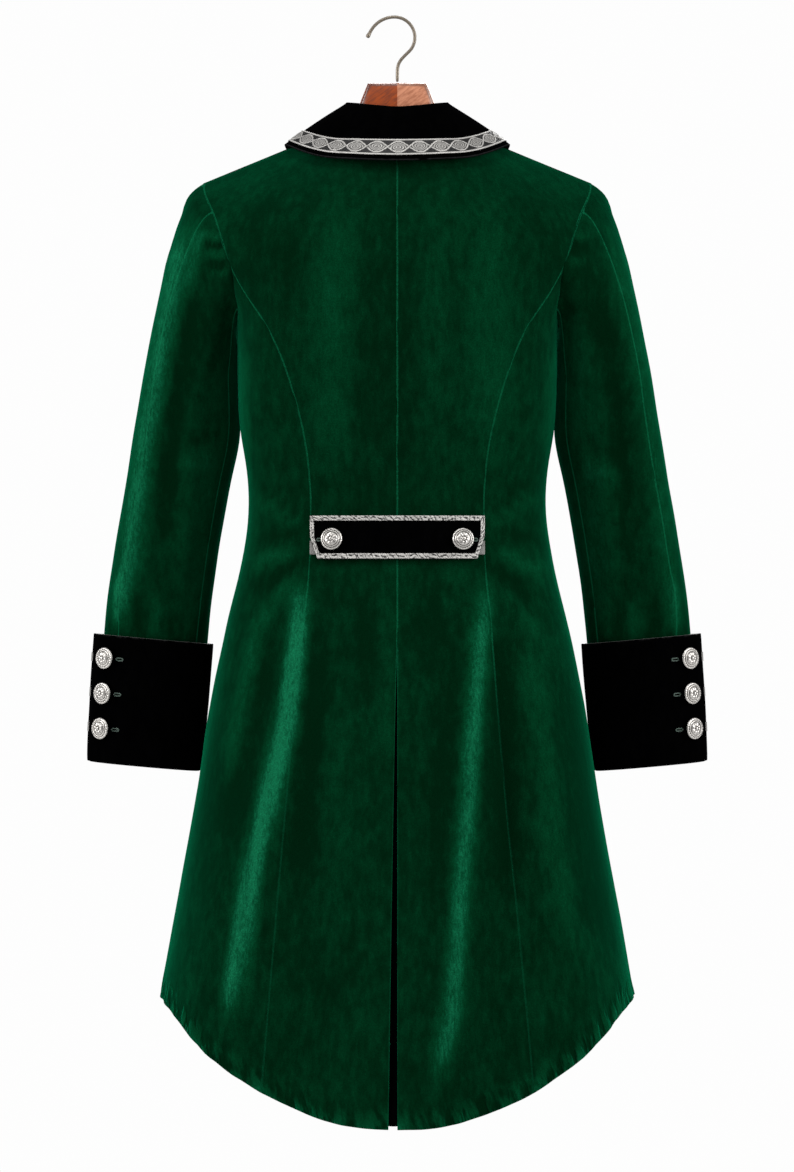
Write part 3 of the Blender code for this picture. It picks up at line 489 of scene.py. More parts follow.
def smoothed(mesh: bmesh.types.BMesh, levels: int, sharp: float = SHARP, fits: int = 0) -> bmesh.types.BMesh:
    """Subdivides a closed wall, keeping its cut edges sharp.

    Args:
        mesh: the wall, which is freed.
        levels: how often it is subdivided.
        sharp: the angle from which an edge is kept.
        fits: how often it is corrected to run through its own points.

    Returns:
        The finer wall.
    """
    crease = mesh.edges.layers.float.new("crease_edge")
    for edge in mesh.edges:
        if edge.calc_face_angle(0) > sharp:
            edge[crease] = 1
    coarse = to_object(mesh, "coarse", BASE)
    step = coarse.modifiers.new("smooth", "SUBSURF")
    step.levels = step.render_levels = levels
    aims = np.array([vertex.co[:] for vertex in coarse.data.vertices])
    for _ in range(fits):
        fine = modified(coarse)
        reached = np.array([vertex.co[:] for vertex in fine.vertices[:len(aims)]])
        bpy.data.meshes.remove(fine)
        for vertex, short in zip(coarse.data.vertices, aims - reached):
            vertex.co += Vector(short)
        coarse.data.update()
    return taken_back(coarse)


def evened(mesh: bmesh.types.BMesh, grain: float, softenings: int = 30) -> bmesh.types.BMesh:
    """Gives a round piece an even fine mesh.

    Args:
        mesh: the piece, which is freed.
        grain: the size of its new faces, in metres.
        softenings: how often they are softened.

    Returns:
        The even mesh.
    """
    coarse = to_object(mesh, "coarse", BASE)
    round_off = coarse.modifiers.new("round", "SUBSURF")
    round_off.levels = round_off.render_levels = 2
    even = coarse.modifiers.new("even", "REMESH")
    even.mode, even.voxel_size = "VOXEL", grain
    soften = coarse.modifiers.new("soften", "SMOOTH")
    soften.factor, soften.iterations = 0.5, softenings
    return taken_back(coarse)


def points_of(mesh: bmesh.types.BMesh) -> np.ndarray:
    """The places of a bmesh's points, as rows."""
    return np.array([vertex.co[:] for vertex in mesh.verts])


def move_points(mesh: bmesh.types.BMesh, places: np.ndarray) -> None:
    """Puts a bmesh's points at new places."""
    for vertex, place in zip(mesh.verts, places):
        vertex.co = place
    mesh.normal_update()


def set_values(mesh: bmesh.types.BMesh, name: str, values: Iterable[float]) -> None:
    """Gives each point of a bmesh a named value."""
    layer = mesh.verts.layers.float.get(name) or mesh.verts.layers.float.new(name)
    for vertex, value in zip(mesh.verts, values):
        vertex[layer] = float(value)


def cut_edges(mesh: bmesh.types.BMesh) -> list[bmesh.types.BMEdge]:
    """The edges along a wall's cut sides."""
    return [edge for edge in mesh.edges if edge.calc_face_angle(0) > SHARP]


def rounded(mesh: bmesh.types.BMesh, edges: list[bmesh.types.BMEdge], radius: float) -> None:
    """Rounds some edges of a bmesh."""
    bmesh.ops.bevel(mesh, geom=edges, offset=radius, offset_type="OFFSET", affect="EDGES", segments=2,
                    profile=0.5, material=-1)


def level_share(edge: bmesh.types.BMEdge) -> float:
    """How level an edge runs, from 0 for upright to 1."""
    run = (edge.verts[1].co - edge.verts[0].co).normalized()
    return math.hypot(run.x, run.y)


def spots_on(edge: bmesh.types.BMEdge) -> list[Vector]:
    """Four places along an edge."""
    return [edge.verts[0].co.lerp(edge.verts[1].co, share) for share in (0, 0.25, 0.5, 0.75)]


def spot_tree(spots: Sequence[Vector]) -> KDTree:
    """A tree that finds the nearest of some places."""
    tree = KDTree(len(spots))
    for index, spot in enumerate(spots):
        tree.insert(spot, index)
    tree.balance()
    return tree


def surface_of(*pieces: bpy.types.Object) -> BVHTree:
    """A tree that finds the nearest point on some finished pieces."""
    points, faces = [], []
    for piece in pieces:
        first = len(points)
        points += [vertex.co.copy() for vertex in piece.data.vertices]
        faces += [[first + index for index in face.vertices] for face in piece.data.polygons]
    return BVHTree.FromPolygons(points, faces)


def step_up(values: np.ndarray, low: float, high: float) -> np.ndarray:
    """A smooth step from 0 at low to 1 at high."""
    share = np.clip((values - low) / (high - low), 0, 1)
    return share * share * (3 - 2 * share)


# Creases


@dataclass(frozen=True)
class Crease:
    """A soft ridge, or a trough where its height is below 0, along a line on one face of the coat.

    Its light is a painted highlight, or a painted shade where below 0, laid on the velvet's colour along it.
    """

    line: tuple[tuple[float, float], ...]
    width: float
    height: float
    # Painted highlight, or painted shade where below 0, on the velvet's colour.
    light: float = 0.0
    ends: float = 0.3

    def share(self, across: np.ndarray, up: np.ndarray) -> np.ndarray:
        """How much of the crease each point has.

        Args:
            across: the points' places across the face, in mm.
            up: their heights, in mm.

        Returns:
            The shares, from 0 to 1.
        """
        line = np.array(self.line, float)
        lengths = np.linalg.norm(np.diff(line, axis=0), axis=1)
        starts = np.concatenate([[0], np.cumsum(lengths)])
        best = np.full(across.shape, 1e9)
        place = np.zeros(across.shape)
        spots = np.stack([across, up], axis=1)
        for index, length in enumerate(lengths):
            run = (line[index + 1] - line[index]) / length
            along = np.clip((spots - line[index]) @ run, 0, length)
            off = np.linalg.norm(spots - line[index] - along[:, None] * run, axis=1)
            nearer = off < best
            best = np.where(nearer, off, best)
            place = np.where(nearer, (starts[index] + along) / starts[-1], place)
        fade = step_up(place, 0, self.ends) * step_up(1 - place, 0, self.ends) if self.ends else 1
        return np.exp(-((best / self.width) ** 2)) * fade


# Crease tables: line (mm across, mm up), width, height, light, ends. Each light is painted highlight or
# painted shade; rows of height 0 are painted light alone.
BACK_CREASES = (
    Crease(((-97, -560), (-101, -643), (-111, -726), (-132, -808), (-147, -880), (-160, -960), (-176, -1050)),
           9, 4.0, 0.72, 0.16),
    Crease(((-100, -600), (-108, -700), (-122, -790), (-140, -870)), 20, 0.0, 0.07),
    Crease(((-82, -600), (-84, -700), (-92, -800), (-104, -920)), 14, -3.4, -0.16),
    Crease(((-120, -590), (-134, -680), (-158, -780), (-180, -880)), 12, -3.0, -0.12),
    Crease(((-136, -600), (-156, -700), (-176, -800)), 9, 2.0, 0.22),
    Crease(((-60, -640), (-62, -760), (-66, -880), (-70, -1000)), 16, 1.4, 0.05),
    Crease(((93, -560), (84, -643), (75, -757), (62, -912), (56, -1004), (45, -1060), (30, -1105)),
           10, 3.6, 0.46, 0.14),
    Crease(((166, -640), (188, -760), (208, -900), (218, -980)), 26, 0.0, -0.13),
    Crease(((-176, -720), (-196, -820), (-214, -920)), 18, 0.0, -0.06),
    Crease(((104, -600), (106, -700), (108, -800), (112, -930)), 14, -3.2, -0.14),
    Crease(((126, -590), (142, -700), (166, -900), (180, -1000)), 14, 2.4, 0.16),
    Crease(((62, -610), (52, -720), (40, -830), (34, -950)), 12, -2.4, -0.10),
    Crease(((-92, -530), (-118, -512), (-152, -498)), 7, 2.2, 0.16),
    Crease(((-92, -546), (-122, -556), (-158, -566)), 8, 2.6, 0.22),
    Crease(((-96, -538), (-124, -534), (-152, -532)), 6, -1.6, -0.10),
    Crease(((-96, -520), (-120, -500), (-146, -478)), 6, -1.5, -0.08),
    Crease(((-96, -556), (-124, -580), (-150, -612)), 8, -1.8, -0.10),
    Crease(((-98, -574), (-124, -598), (-146, -640)), 8, 1.6, 0.16),
    Crease(((92, -528), (120, -508), (150, -490)), 7, 2.0, 0.14),
    Crease(((92, -548), (124, -562), (158, -578)), 8, 2.4, 0.20),
    Crease(((96, -538), (124, -536), (152, -536)), 6, -1.5, -0.08),
    Crease(((94, -556), (118, -584), (140, -620)), 8, -1.8, -0.10),
    Crease(((96, -516), (118, -494), (142, -470)), 6, -1.4, -0.08),
    Crease(((98, -576), (122, -604), (144, -650)), 8, 1.5, 0.12),
    Crease(((-58, -160), (-66, -300), (-70, -420), (-66, -500)), 22, 1.2, 0.13),
    Crease(((34, -160), (38, -300), (40, -400), (38, -490)), 16, 0.8, 0.08),
    Crease(((92, -160), (98, -300), (94, -420), (86, -500)), 22, 1.2, 0.13),
    Crease(((0, -160), (0, -300), (0, -500)), 14, 0.0, -0.06),
    Crease(((-24, -200), (-30, -320), (-34, -460)), 12, -0.6, -0.05),
    Crease(((-120, -170), (-150, -230), (-158, -300)), 14, -1.4, -0.05),
    Crease(((124, -170), (152, -230), (160, -300)), 14, -1.4, -0.05),
    Crease(((-190, -172), (-120, -144), (-70, -128)), 9, 0.0, 0.30),
    Crease(((190, -172), (120, -144), (70, -128)), 9, 0.0, 0.26),
    Crease(((-160, -330), (-158, -400), (-152, -470)), 7, 0.0, 0.16),
    Crease(((160, -330), (158, -400), (152, -470)), 7, 0.0, 0.14),
    Crease(((-40, -562), (-30, -620), (-34, -720)), 12, -1.6, -0.06),
    Crease(((44, -562), (32, -620), (30, -700)), 12, -1.6, -0.06),
    Crease(((-8, -562), (-10, -640), (-14, -760)), 10, 1.0, 0.06),
)
FRONT_CREASES = (
    Crease(((-100, -560), (-112, -700), (-134, -830), (-160, -985)), 12, 3.6, 0.36),
    Crease(((-70, -590), (-76, -720), (-84, -860), (-92, -970)), 14, -3.0, -0.12),
    Crease(((96, -560), (100, -690), (118, -820), (142, -980)), 12, 3.4, 0.34),
    Crease(((64, -600), (66, -720), (74, -860), (80, -960)), 14, -3.0, -0.12),
    Crease(((-60, -300), (-84, -380), (-96, -470)), 18, 1.6, 0.12),
    Crease(((60, -300), (86, -390), (98, -470)), 18, 1.6, 0.12),
    Crease(((26, -518), (60, -505), (96, -498)), 8, 1.8, 0.14),
    Crease(((-30, -520), (-64, -508), (-100, -500)), 8, 1.7, 0.14),
    Crease(((-120, -170), (-146, -240), (-152, -310)), 14, -1.6, -0.06),
    Crease(((120, -170), (148, -235), (154, -310)), 14, -1.6, -0.06),
)
LEFT_SLEEVE_CREASES = (
    Crease(((-218, -196), (-240, -330), (-262, -450), (-278, -560), (-290, -640)), 13, 2.6, 0.42, 0.12),
    Crease(((-184, -350), (-192, -460), (-204, -560), (-212, -640)), 14, 0.0, 0.14, 0.15),
    Crease(((-204, -196), (-206, -240), (-214, -300)), 7, 1.6, 0.22),
    Crease(((-196, -230), (-216, -330), (-232, -450), (-246, -560)), 14, -2.2, -0.12),
    Crease(((-204, -320), (-216, -440), (-222, -540), (-226, -630)), 10, 1.8, 0.10),
    Crease(((-282, -560), (-290, -600), (-288, -645)), 6, 2.2, 0.18),
    Crease(((-268, -580), (-270, -612), (-266, -650)), 5, -1.8, -0.12),
    Crease(((-246, -590), (-250, -620), (-248, -650)), 6, 1.8, 0.16),
    Crease(((-206, -600), (-214, -625), (-218, -650)), 5, 1.5, 0.12),
    Crease(((-204, -222), (-190, -229), (-176, -228)), 4, 1.8, 0.20),
    Crease(((-202, -233), (-188, -238), (-174, -237)), 3, -1.6, -0.20),
    Crease(((-200, -243), (-186, -248), (-172, -246)), 4, 1.5, 0.20),
    Crease(((-196, -254), (-184, -258), (-172, -256)), 3, -1.5, -0.22),
    Crease(((-194, -264), (-182, -267), (-170, -265)), 4, 1.2, 0.14),
    Crease(((-178, -420), (-200, -436), (-226, -440)), 8, -1.6, -0.08),
    Crease(((-184, -452), (-206, -462), (-236, -462)), 7, 1.4, 0.10),
)
RIGHT_SLEEVE_CREASES = (
    Crease(((216, -200), (244, -320), (264, -440), (280, -560), (290, -640)), 12, 2.2, 0.18, 0.12),
    Crease(((186, -290), (190, -400), (200, -510), (212, -640)), 14, 0.0, 0.18, 0.15),
    Crease(((194, -240), (212, -340), (228, -450), (240, -560)), 14, -2.2, -0.12),
    Crease(((202, -300), (214, -420), (222, -540), (228, -635)), 10, 1.9, 0.12),
    Crease(((280, -570), (286, -606), (290, -645)), 6, 2.0, 0.16),
    Crease(((262, -585), (266, -618), (268, -650)), 6, -1.7, -0.10),
    Crease(((240, -596), (244, -622), (246, -650)), 6, 1.7, 0.14),
    Crease(((210, -604), (216, -628), (222, -650)), 5, 1.4, 0.10),
    Crease(((204, -222), (190, -227), (176, -226)), 4, 1.6, 0.16),
    Crease(((200, -236), (186, -241), (174, -240)), 4, -1.5, -0.16),
    Crease(((198, -250), (186, -254), (174, -252)), 4, 1.2, 0.12),
    Crease(((180, -430), (204, -444), (230, -446)), 8, -1.6, -0.08),
    Crease(((186, -462), (210, -472), (240, -470)), 7, 1.4, 0.10),
)


def facing(direction: np.ndarray, face: Face) -> np.ndarray:
    """How much each point's outward direction looks the way of a face, from 0 to 1."""
    return step_up(direction @ np.array(face.value), 0.05, 0.55)


def body_direction(places: np.ndarray) -> np.ndarray:
    """The level direction that leads out of the coat's body at each place."""
    out = np.stack([places[:, 0] / 0.16 ** 2, places[:, 1] / 0.10 ** 2], axis=1)
    return out / np.maximum(np.linalg.norm(out, axis=1), 1e-6)[:, None]


SLEEVE_AXIS = ((-180, 196, 8), (-300, 205, 16), (-440, 220, 28), (-600, 248, 35), (-780, 264, 38))


def sleeve_direction(places: np.ndarray) -> np.ndarray:
    """The level direction that leads out of a sleeve at each place."""
    rows = np.array(SLEEVE_AXIS[::-1], float) * MM
    side = np.sign(places[:, 0].mean())
    middle = np.interp(places[:, 2], rows[:, 0], rows[:, 1]) * side
    depth = np.interp(places[:, 2], rows[:, 0], rows[:, 2])
    out = np.stack([places[:, 0] - middle, places[:, 1] - depth], axis=1)
    return out / np.maximum(np.linalg.norm(out, axis=1), 1e-6)[:, None]


# Cloth pieces


@dataclass(frozen=True)
class Cut:
    """A piece's flat cut: its width, length and area, in metres."""

    width: float
    length: float
    area: float


@dataclass
class Cloth:
    """One cut piece of cloth: its solid's wall, smoothed, creased and rounded at its edges."""

    node: str
    material: bpy.types.Material
    slot: str
    cut: Cut
    direction: Callable[[np.ndarray], np.ndarray]
    creases: dict[Face, tuple[Crease, ...]] = field(default_factory=dict)
    levels: int = 2
    edge_radius: float = 0.5 * MM
    unevenness: float = 0.5 * MM
    rests_on: tuple[str, ...] = ("hanger_arm_left", "hanger_arm_right")
    puckered: bool = False
    pucker: float = 2.2 * MM
    pucker_scale: Triple = (62, 62, 24)
    spread: float = 0.17 * MM

    def mark_hem(self, mesh: bmesh.types.BMesh) -> None:
        """Stores each point's distance from the hem, and makes the wall finer there.

        Args:
            mesh: the wall.
        """
        tree = spot_tree([spot for edge in cut_edges(mesh) if level_share(edge) > LEVEL_EDGE
                          and edge.verts[0].co.z < HEM_TOP for spot in spots_on(edge)])
        near = [edge for edge in mesh.edges if tree.find(edge.verts[0].co)[2] < HEM_BAND]
        bmesh.ops.subdivide_edges(mesh, edges=near, cuts=1, use_grid_fill=True)
        set_values(mesh, "hem", [tree.find(vertex.co)[2] for vertex in mesh.verts])

    def crease(self, mesh: bmesh.types.BMesh) -> None:
        """Moves the wall out and in along its creases, inside and outside alike, and stores the painted
        highlight and shade that they lay on the velvet's colour.

        Args:
            mesh: the wall.
        """
        places = points_of(mesh)
        out = self.direction(places)
        lift, light = np.zeros(len(places)), np.zeros(len(places))
        for face, creases in self.creases.items():
            facing_share = facing(out, face)
            for crease in creases:
                share = crease.share(places[:, 0] / MM, places[:, 2] / MM) * facing_share
                lift += crease.height * share * MM
                # Painted highlight and shade for the velvet's colour.
                light += crease.light * share
        lift += [self.unevenness * noise.noise(Vector(place) * 21) for place in places]
        if self.puckered:
            hem = mesh.verts.layers.float["hem"]
            near = step_up(np.array([vertex[hem] for vertex in mesh.verts]), *PUCKER_BAND)
            lift += near * [self.pucker * noise.noise(Vector(place * self.pucker_scale)) for place in places]
        places[:, :2] += out * lift[:, None]
        move_points(mesh, places)
        set_values(mesh, "nap", light)

    def close_seams(self, mesh: bmesh.types.BMesh) -> None:
        """Spreads the wall by the little that shuts the gaps between sewn pieces.

        Args:
            mesh: the wall.
        """
        shifts: dict[bmesh.types.BMVert, Vector] = {}
        cut = set(cut_edges(mesh))
        for face in mesh.faces:
            sides = [edge for edge in face.edges if edge in cut]
            if any(not set(first.verts) & set(second.verts) for first in sides for second in sides):
                for vertex in face.verts:
                    shifts[vertex] = shifts.get(vertex, Vector()) + face.normal
        for vertex, shift in shifts.items():
            if shift.length > 0.5:
                vertex.co += shift.normalized() * self.spread
        mesh.normal_update()

    def mark_seams(self, mesh: bmesh.types.BMesh) -> None:
        """Stores each point's distance from the nearest cut edge, and rounds the edges.

        Args:
            mesh: the wall.
        """
        rim = cut_edges(mesh)
        tree = spot_tree([spot for edge in rim for spot in spots_on(edge)])
        rounded(mesh, rim, self.edge_radius)
        set_values(mesh, "seam", [tree.find(vertex.co)[2] for vertex in mesh.verts])
        hem = mesh.verts.layers.float.get("hem")
        near = [max(0.0, 1 - vertex[hem] / NEAR_HEM) if hem else 0 for vertex in mesh.verts]
        set_values(mesh, "near_hem", near)

    def build(self) -> bpy.types.Object:
        """Returns:
            The piece.
        """
        mesh = merged_copy(self.node)
        self.close_seams(mesh)
        mesh = smoothed(mesh, self.levels, fits=3)
        if self.puckered:
            self.mark_hem(mesh)
        self.crease(mesh)
        self.mark_seams(mesh)
        piece = to_object(mesh, f"{self.node}_cloth", self.material)
        declare(piece, self.slot, self.node)
        return piece


def declare(piece: bpy.types.Object, slot: str, *nodes: str) -> None:
    """Says what a piece rides on and which solids it stands for.

    Args:
        piece: the piece.
        slot: not used.
        nodes: the solids.
    """
    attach(piece, "root")
    if nodes:
        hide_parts(*nodes)
    LOG.info("%s: %d faces", piece.name, len(piece.data.polygons))


# Trim


def chains_of(node: str, closed: bool) -> list[np.ndarray]:
    """The four long edges of a strip's solid.

    Args:
        node: the solid's name.
        closed: whether the strip joins its own start.

    Returns:
        The points along each edge, in order.
    """
    mesh = merged_copy(node)
    mesh.verts.index_update()
    sharp = cut_edges(mesh)
    corners = {vertex for edge in sharp if edge.calc_length() < STRIP_SIDE for vertex in edge.verts}
    links: dict[bmesh.types.BMVert, list[bmesh.types.BMVert]] = {}
    for edge in sharp:
        if edge.calc_length() >= STRIP_SIDE and (closed or not corners.issuperset(edge.verts)):
            for vertex in edge.verts:
                links.setdefault(vertex, []).append(edge.other_vert(vertex))
    chains = []
    while links:
        here = min(links, key=lambda vertex: (len(links[vertex]), vertex.index))
        chain = [here]
        while onward := [vertex for vertex in links.pop(here) if vertex in links]:
            here = onward[0]
            chain.append(here)
        chains.append(np.array([vertex.co[:] for vertex in chain]))
    mesh.free()
    return chains


def started_left(chain: np.ndarray, closed: bool) -> np.ndarray:
    """Turns a chain so that it starts at its left end, or at its top left corner, and runs right.

    Args:
        chain: the points.
        closed: whether the chain joins its own start, which is then repeated at the end.

    Returns:
        The turned points.
    """
    if not closed:
        return chain if chain[0, 0] < chain[-1, 0] else chain[::-1]
    first = int(np.argmax(chain[:, 2] - chain[:, 0]))
    chain = np.roll(chain, -first, axis=0)
    if chain[1, 0] < chain[-1, 0]:
        chain = np.roll(chain[::-1], 1, axis=0)
    return np.vstack([chain, chain[:1]])


def along_chain(chain: np.ndarray, spots: np.ndarray, smooth: bool) -> np.ndarray:
    """Points on a chain.

    Args:
        chain: its points.
        spots: places on it, counted in points from its start.
        smooth: whether it curves through its points or runs straight between them.

    Returns:
        The points.
    """
    index = np.clip(spots.astype(int), 0, len(chain) - 2)
    share = (spots - index)[:, None]
    start, end = chain[index], chain[index + 1]
    if not smooth:
        return start + (end - start) * share
    before, after = chain[np.maximum(index - 1, 0)], chain[np.minimum(index + 2, len(chain) - 1)]
    return 0.5 * (2 * start + (end - before) * share + (2 * before - 5 * start + 4 * end - after) * share ** 2
                  + (3 * start - before - 3 * end + after) * share ** 3)


def interlace(along: np.ndarray, across: np.ndarray) -> tuple[np.ndarray, np.ndarray]:
    """Two wavy strands that cross between rounds of fine lines, inside plain borders.

    Args:
        along: places along the braid, in mm.
        across: places across it, in mm from its middle.

    Returns:
        The height from 0 to 1, and how silver it is.
    """
    repeat, reach, strand, border = 21.6, 6.3, 0.72, 7.5
    phase = math.pi * along / repeat
    slope = reach * math.pi / repeat * np.cos(phase)
    wave = reach * np.sin(phase)
    crossing = np.round(along / repeat)
    near = np.abs(along - crossing * repeat) < 6
    middle = along % repeat - repeat / 2
    swirl = middle + 0.5 * across * np.where(crossing % 2 == 0, 1, -1)
    oval = np.hypot(across / (reach - strand), swirl / (repeat / 2 - 2.0))
    lines = 0.5 + 0.5 * np.cos(2 * math.pi * oval * 3.6 + 0.6)
    inside = np.abs(across) < np.abs(wave) - strand * 0.8
    height = np.where(inside, 0.15 + 0.5 * lines, 0.05)
    silver = np.where(inside, 0.16 + 0.62 * lines, 0.0)
    for layer in (0, 1):
        for sign in (1, -1):
            over = ((crossing % 2 == 0) == (sign > 0)) if layer else np.ones_like(near)
            off = np.abs(across - sign * wave) / np.sqrt(1 + slope ** 2)
            hidden = near & (over < 1)
            rope = 0.75 + 0.25 * np.cos(off / strand * 1.5) - 0.3 * np.exp(-((off / 0.28) ** 2))
            gap = (off < strand + 0.45) & (off >= strand) & ~hidden
            height = np.where(gap, 0.08, height)
            silver = np.where(gap, 0.05, silver)
            on = (off < strand) & ~hidden
            height = np.where(on, rope, height)
            silver = np.where(on, 0.45 + 0.4 * rope, silver)
    edge = np.abs(across)
    band = edge > border
    weave = 0.8 + 0.2 * np.cos(2 * math.pi * along / 1.9)
    height = np.where(band, weave, np.where(edge > border - 0.45, 0.1, height))
    silver = np.where(band, 0.45 + 0.4 * weave, np.where(edge > border - 0.45, 0.1, silver))
    return height, silver


def two_ply(along: np.ndarray, across: np.ndarray) -> tuple[np.ndarray, np.ndarray]:
    """A narrow braid of slanting plies, a little uneven.

    Args:
        along: places along the braid, in mm.
        across: places across it, in mm from its middle.

    Returns:
        The height from 0 to 1, and how silver it is.
    """
    wander = np.array([noise.noise(Vector((place * 0.16, 3.0, 0))) for place in along])
    worn = np.array([noise.noise(Vector((first * 0.35, second * 0.5, 7.0)))
                     for first, second in zip(along, across)])
    ply = np.clip(np.abs(np.sin(math.pi * (along / 4.9 + across * 0.22 + 1.6 * wander))) + 0.9 * worn, 0, 1)
    fine = 0.5 + 0.5 * np.cos(2 * math.pi * (along / 1.5 - across * 0.9))
    groove = np.exp(-(((across - 0.5 * np.sin(along * 0.5)) / 0.35) ** 2))
    height = 0.1 + 0.75 * ply + 0.15 * fine - 0.4 * groove
    return height, np.clip(0.08 + 0.85 * ply + 0.15 * fine - 0.4 * groove, 0, 1)


@dataclass
class Strip:
    """A flat braid sewn on cloth, with its pattern in relief."""

    node: str
    material: bpy.types.Material
    ground: BVHTree
    pattern: Callable[[np.ndarray, np.ndarray], tuple[np.ndarray, np.ndarray]]
    width: float
    cut: Optional[Cut] = None
    closed: bool = False
    step: float = 0.7
    lift: float = 0.75
    relief: float = 0.55
    thickness: float = 0.6
    reach: float = 6 * MM

    def rails(self) -> tuple[np.ndarray, np.ndarray]:
        """The outer face's two long edges, upper or outer first."""
        chains = [started_left(chain, self.closed) for chain in chains_of(self.node, self.closed)]
        if self.closed:
            chains.sort(key=lambda chain: -np.ptp(chain[:, 2]))
            key = lambda chain: chain[:, 1].mean()
        else:
            chains.sort(key=lambda chain: -chain[:, 2].mean())
            key = lambda chain: -chain[:, 2].mean() - np.hypot(chain[:, 0], chain[:, 1]).mean()
        return min(chains[:2], key=key), min(chains[2:], key=key)

    def build(self) -> bpy.types.Object:
        """Makes the braid.

        Returns:
            The piece.
        """
        upper, lower = self.rails()
        middle = (upper + lower) / 2
        run = np.concatenate([[0], np.cumsum(np.linalg.norm(np.diff(middle, axis=0), axis=1))]) / MM
        columns, rows = int(run[-1] / self.step), int(self.width / self.step)
        mesh = bmesh.new()
        bmesh.ops.create_grid(mesh, x_segments=columns, y_segments=rows, size=0.5)
        flat = points_of(mesh)
        along, across = (flat[:, 0] + 0.5) * run[-1], flat[:, 1]
        spots = np.interp(along, run, np.arange(len(run)))
        high, low = (along_chain(rail, spots, not self.closed) for rail in (upper, lower))
        places = low + (high - low) * (across + 0.5)[:, None]
        height, silver = self.pattern(along, across * self.width)
        height = height * step_up(0.5 - np.abs(across), -0.02, 0.06)
        seated = []
        outward = np.cross(np.gradient(middle, axis=0), upper - lower)
        outward = along_chain(outward / np.linalg.norm(outward, axis=1)[:, None], spots, False)
        for place, out, rise in zip(places, outward, height):
            place, out = Vector(place), Vector(out).normalized()
            spot, _, _, _ = self.ground.ray_cast(place + out * self.reach, -out, 2 * self.reach)
            seated.append((spot or place) + out * (self.lift + self.relief * rise) * MM)
        move_points(mesh, np.array(seated))
        set_values(mesh, "raised", silver)
        if self.closed:
            bmesh.ops.remove_doubles(mesh, verts=mesh.verts, dist=MERGE)
        bmesh.ops.recalc_face_normals(mesh, faces=mesh.faces)
        mesh.faces.ensure_lookup_table()
        if sum(face.normal.dot(Vector(outward[face.verts[0].index])) for face in mesh.faces) < 0:
            bmesh.ops.reverse_faces(mesh, faces=mesh.faces)
        bmesh.ops.solidify(mesh, geom=mesh.faces[:], thickness=self.thickness * MM)
        piece = to_object(mesh, f"{self.node}_woven", self.material)
        declare(piece, "silver_braid", self.node)
        return piece


@dataclass
class Trim:
    """A small sewn-on end or cord of metal thread, made finer over its solid."""

    node: str
    material: bpy.types.Material
    twist: float
    levels: int = 3
    relief: float = 0.22 * MM

    def build(self) -> bpy.types.Object:
        """Makes the piece.

        Returns:
            The piece.
        """
        mesh = smoothed(merged_copy(self.node), self.levels)
        places = points_of(mesh)
        middle = places.mean(axis=0)
        turn = np.arctan2(places[:, 1] - middle[1], places[:, 0] - middle[0])
        reach = np.hypot(places[:, 0] - middle[0], places[:, 1] - middle[1]).max()
        phase = 2 * math.pi * (turn * reach / self.twist + places[:, 2] / self.twist * 0.8)
        ply = 0.5 + 0.5 * np.sin(phase)
        normals = np.array([vertex.normal[:] for vertex in mesh.verts])
        move_points(mesh, places + normals * (ply * self.relief)[:, None])
        set_values(mesh, "raised", 0.42 + 0.4 * ply)
        piece = to_object(mesh, f"{self.node}_woven", self.material)
        declare(piece, "silver_braid", self.node)
        return piece


# Buttons


@dataclass(frozen=True)
class Turning:
    """One ring of a button's profile: radius and height in mm, and how bright it is."""

    radius: float
    height: float
    bright: float


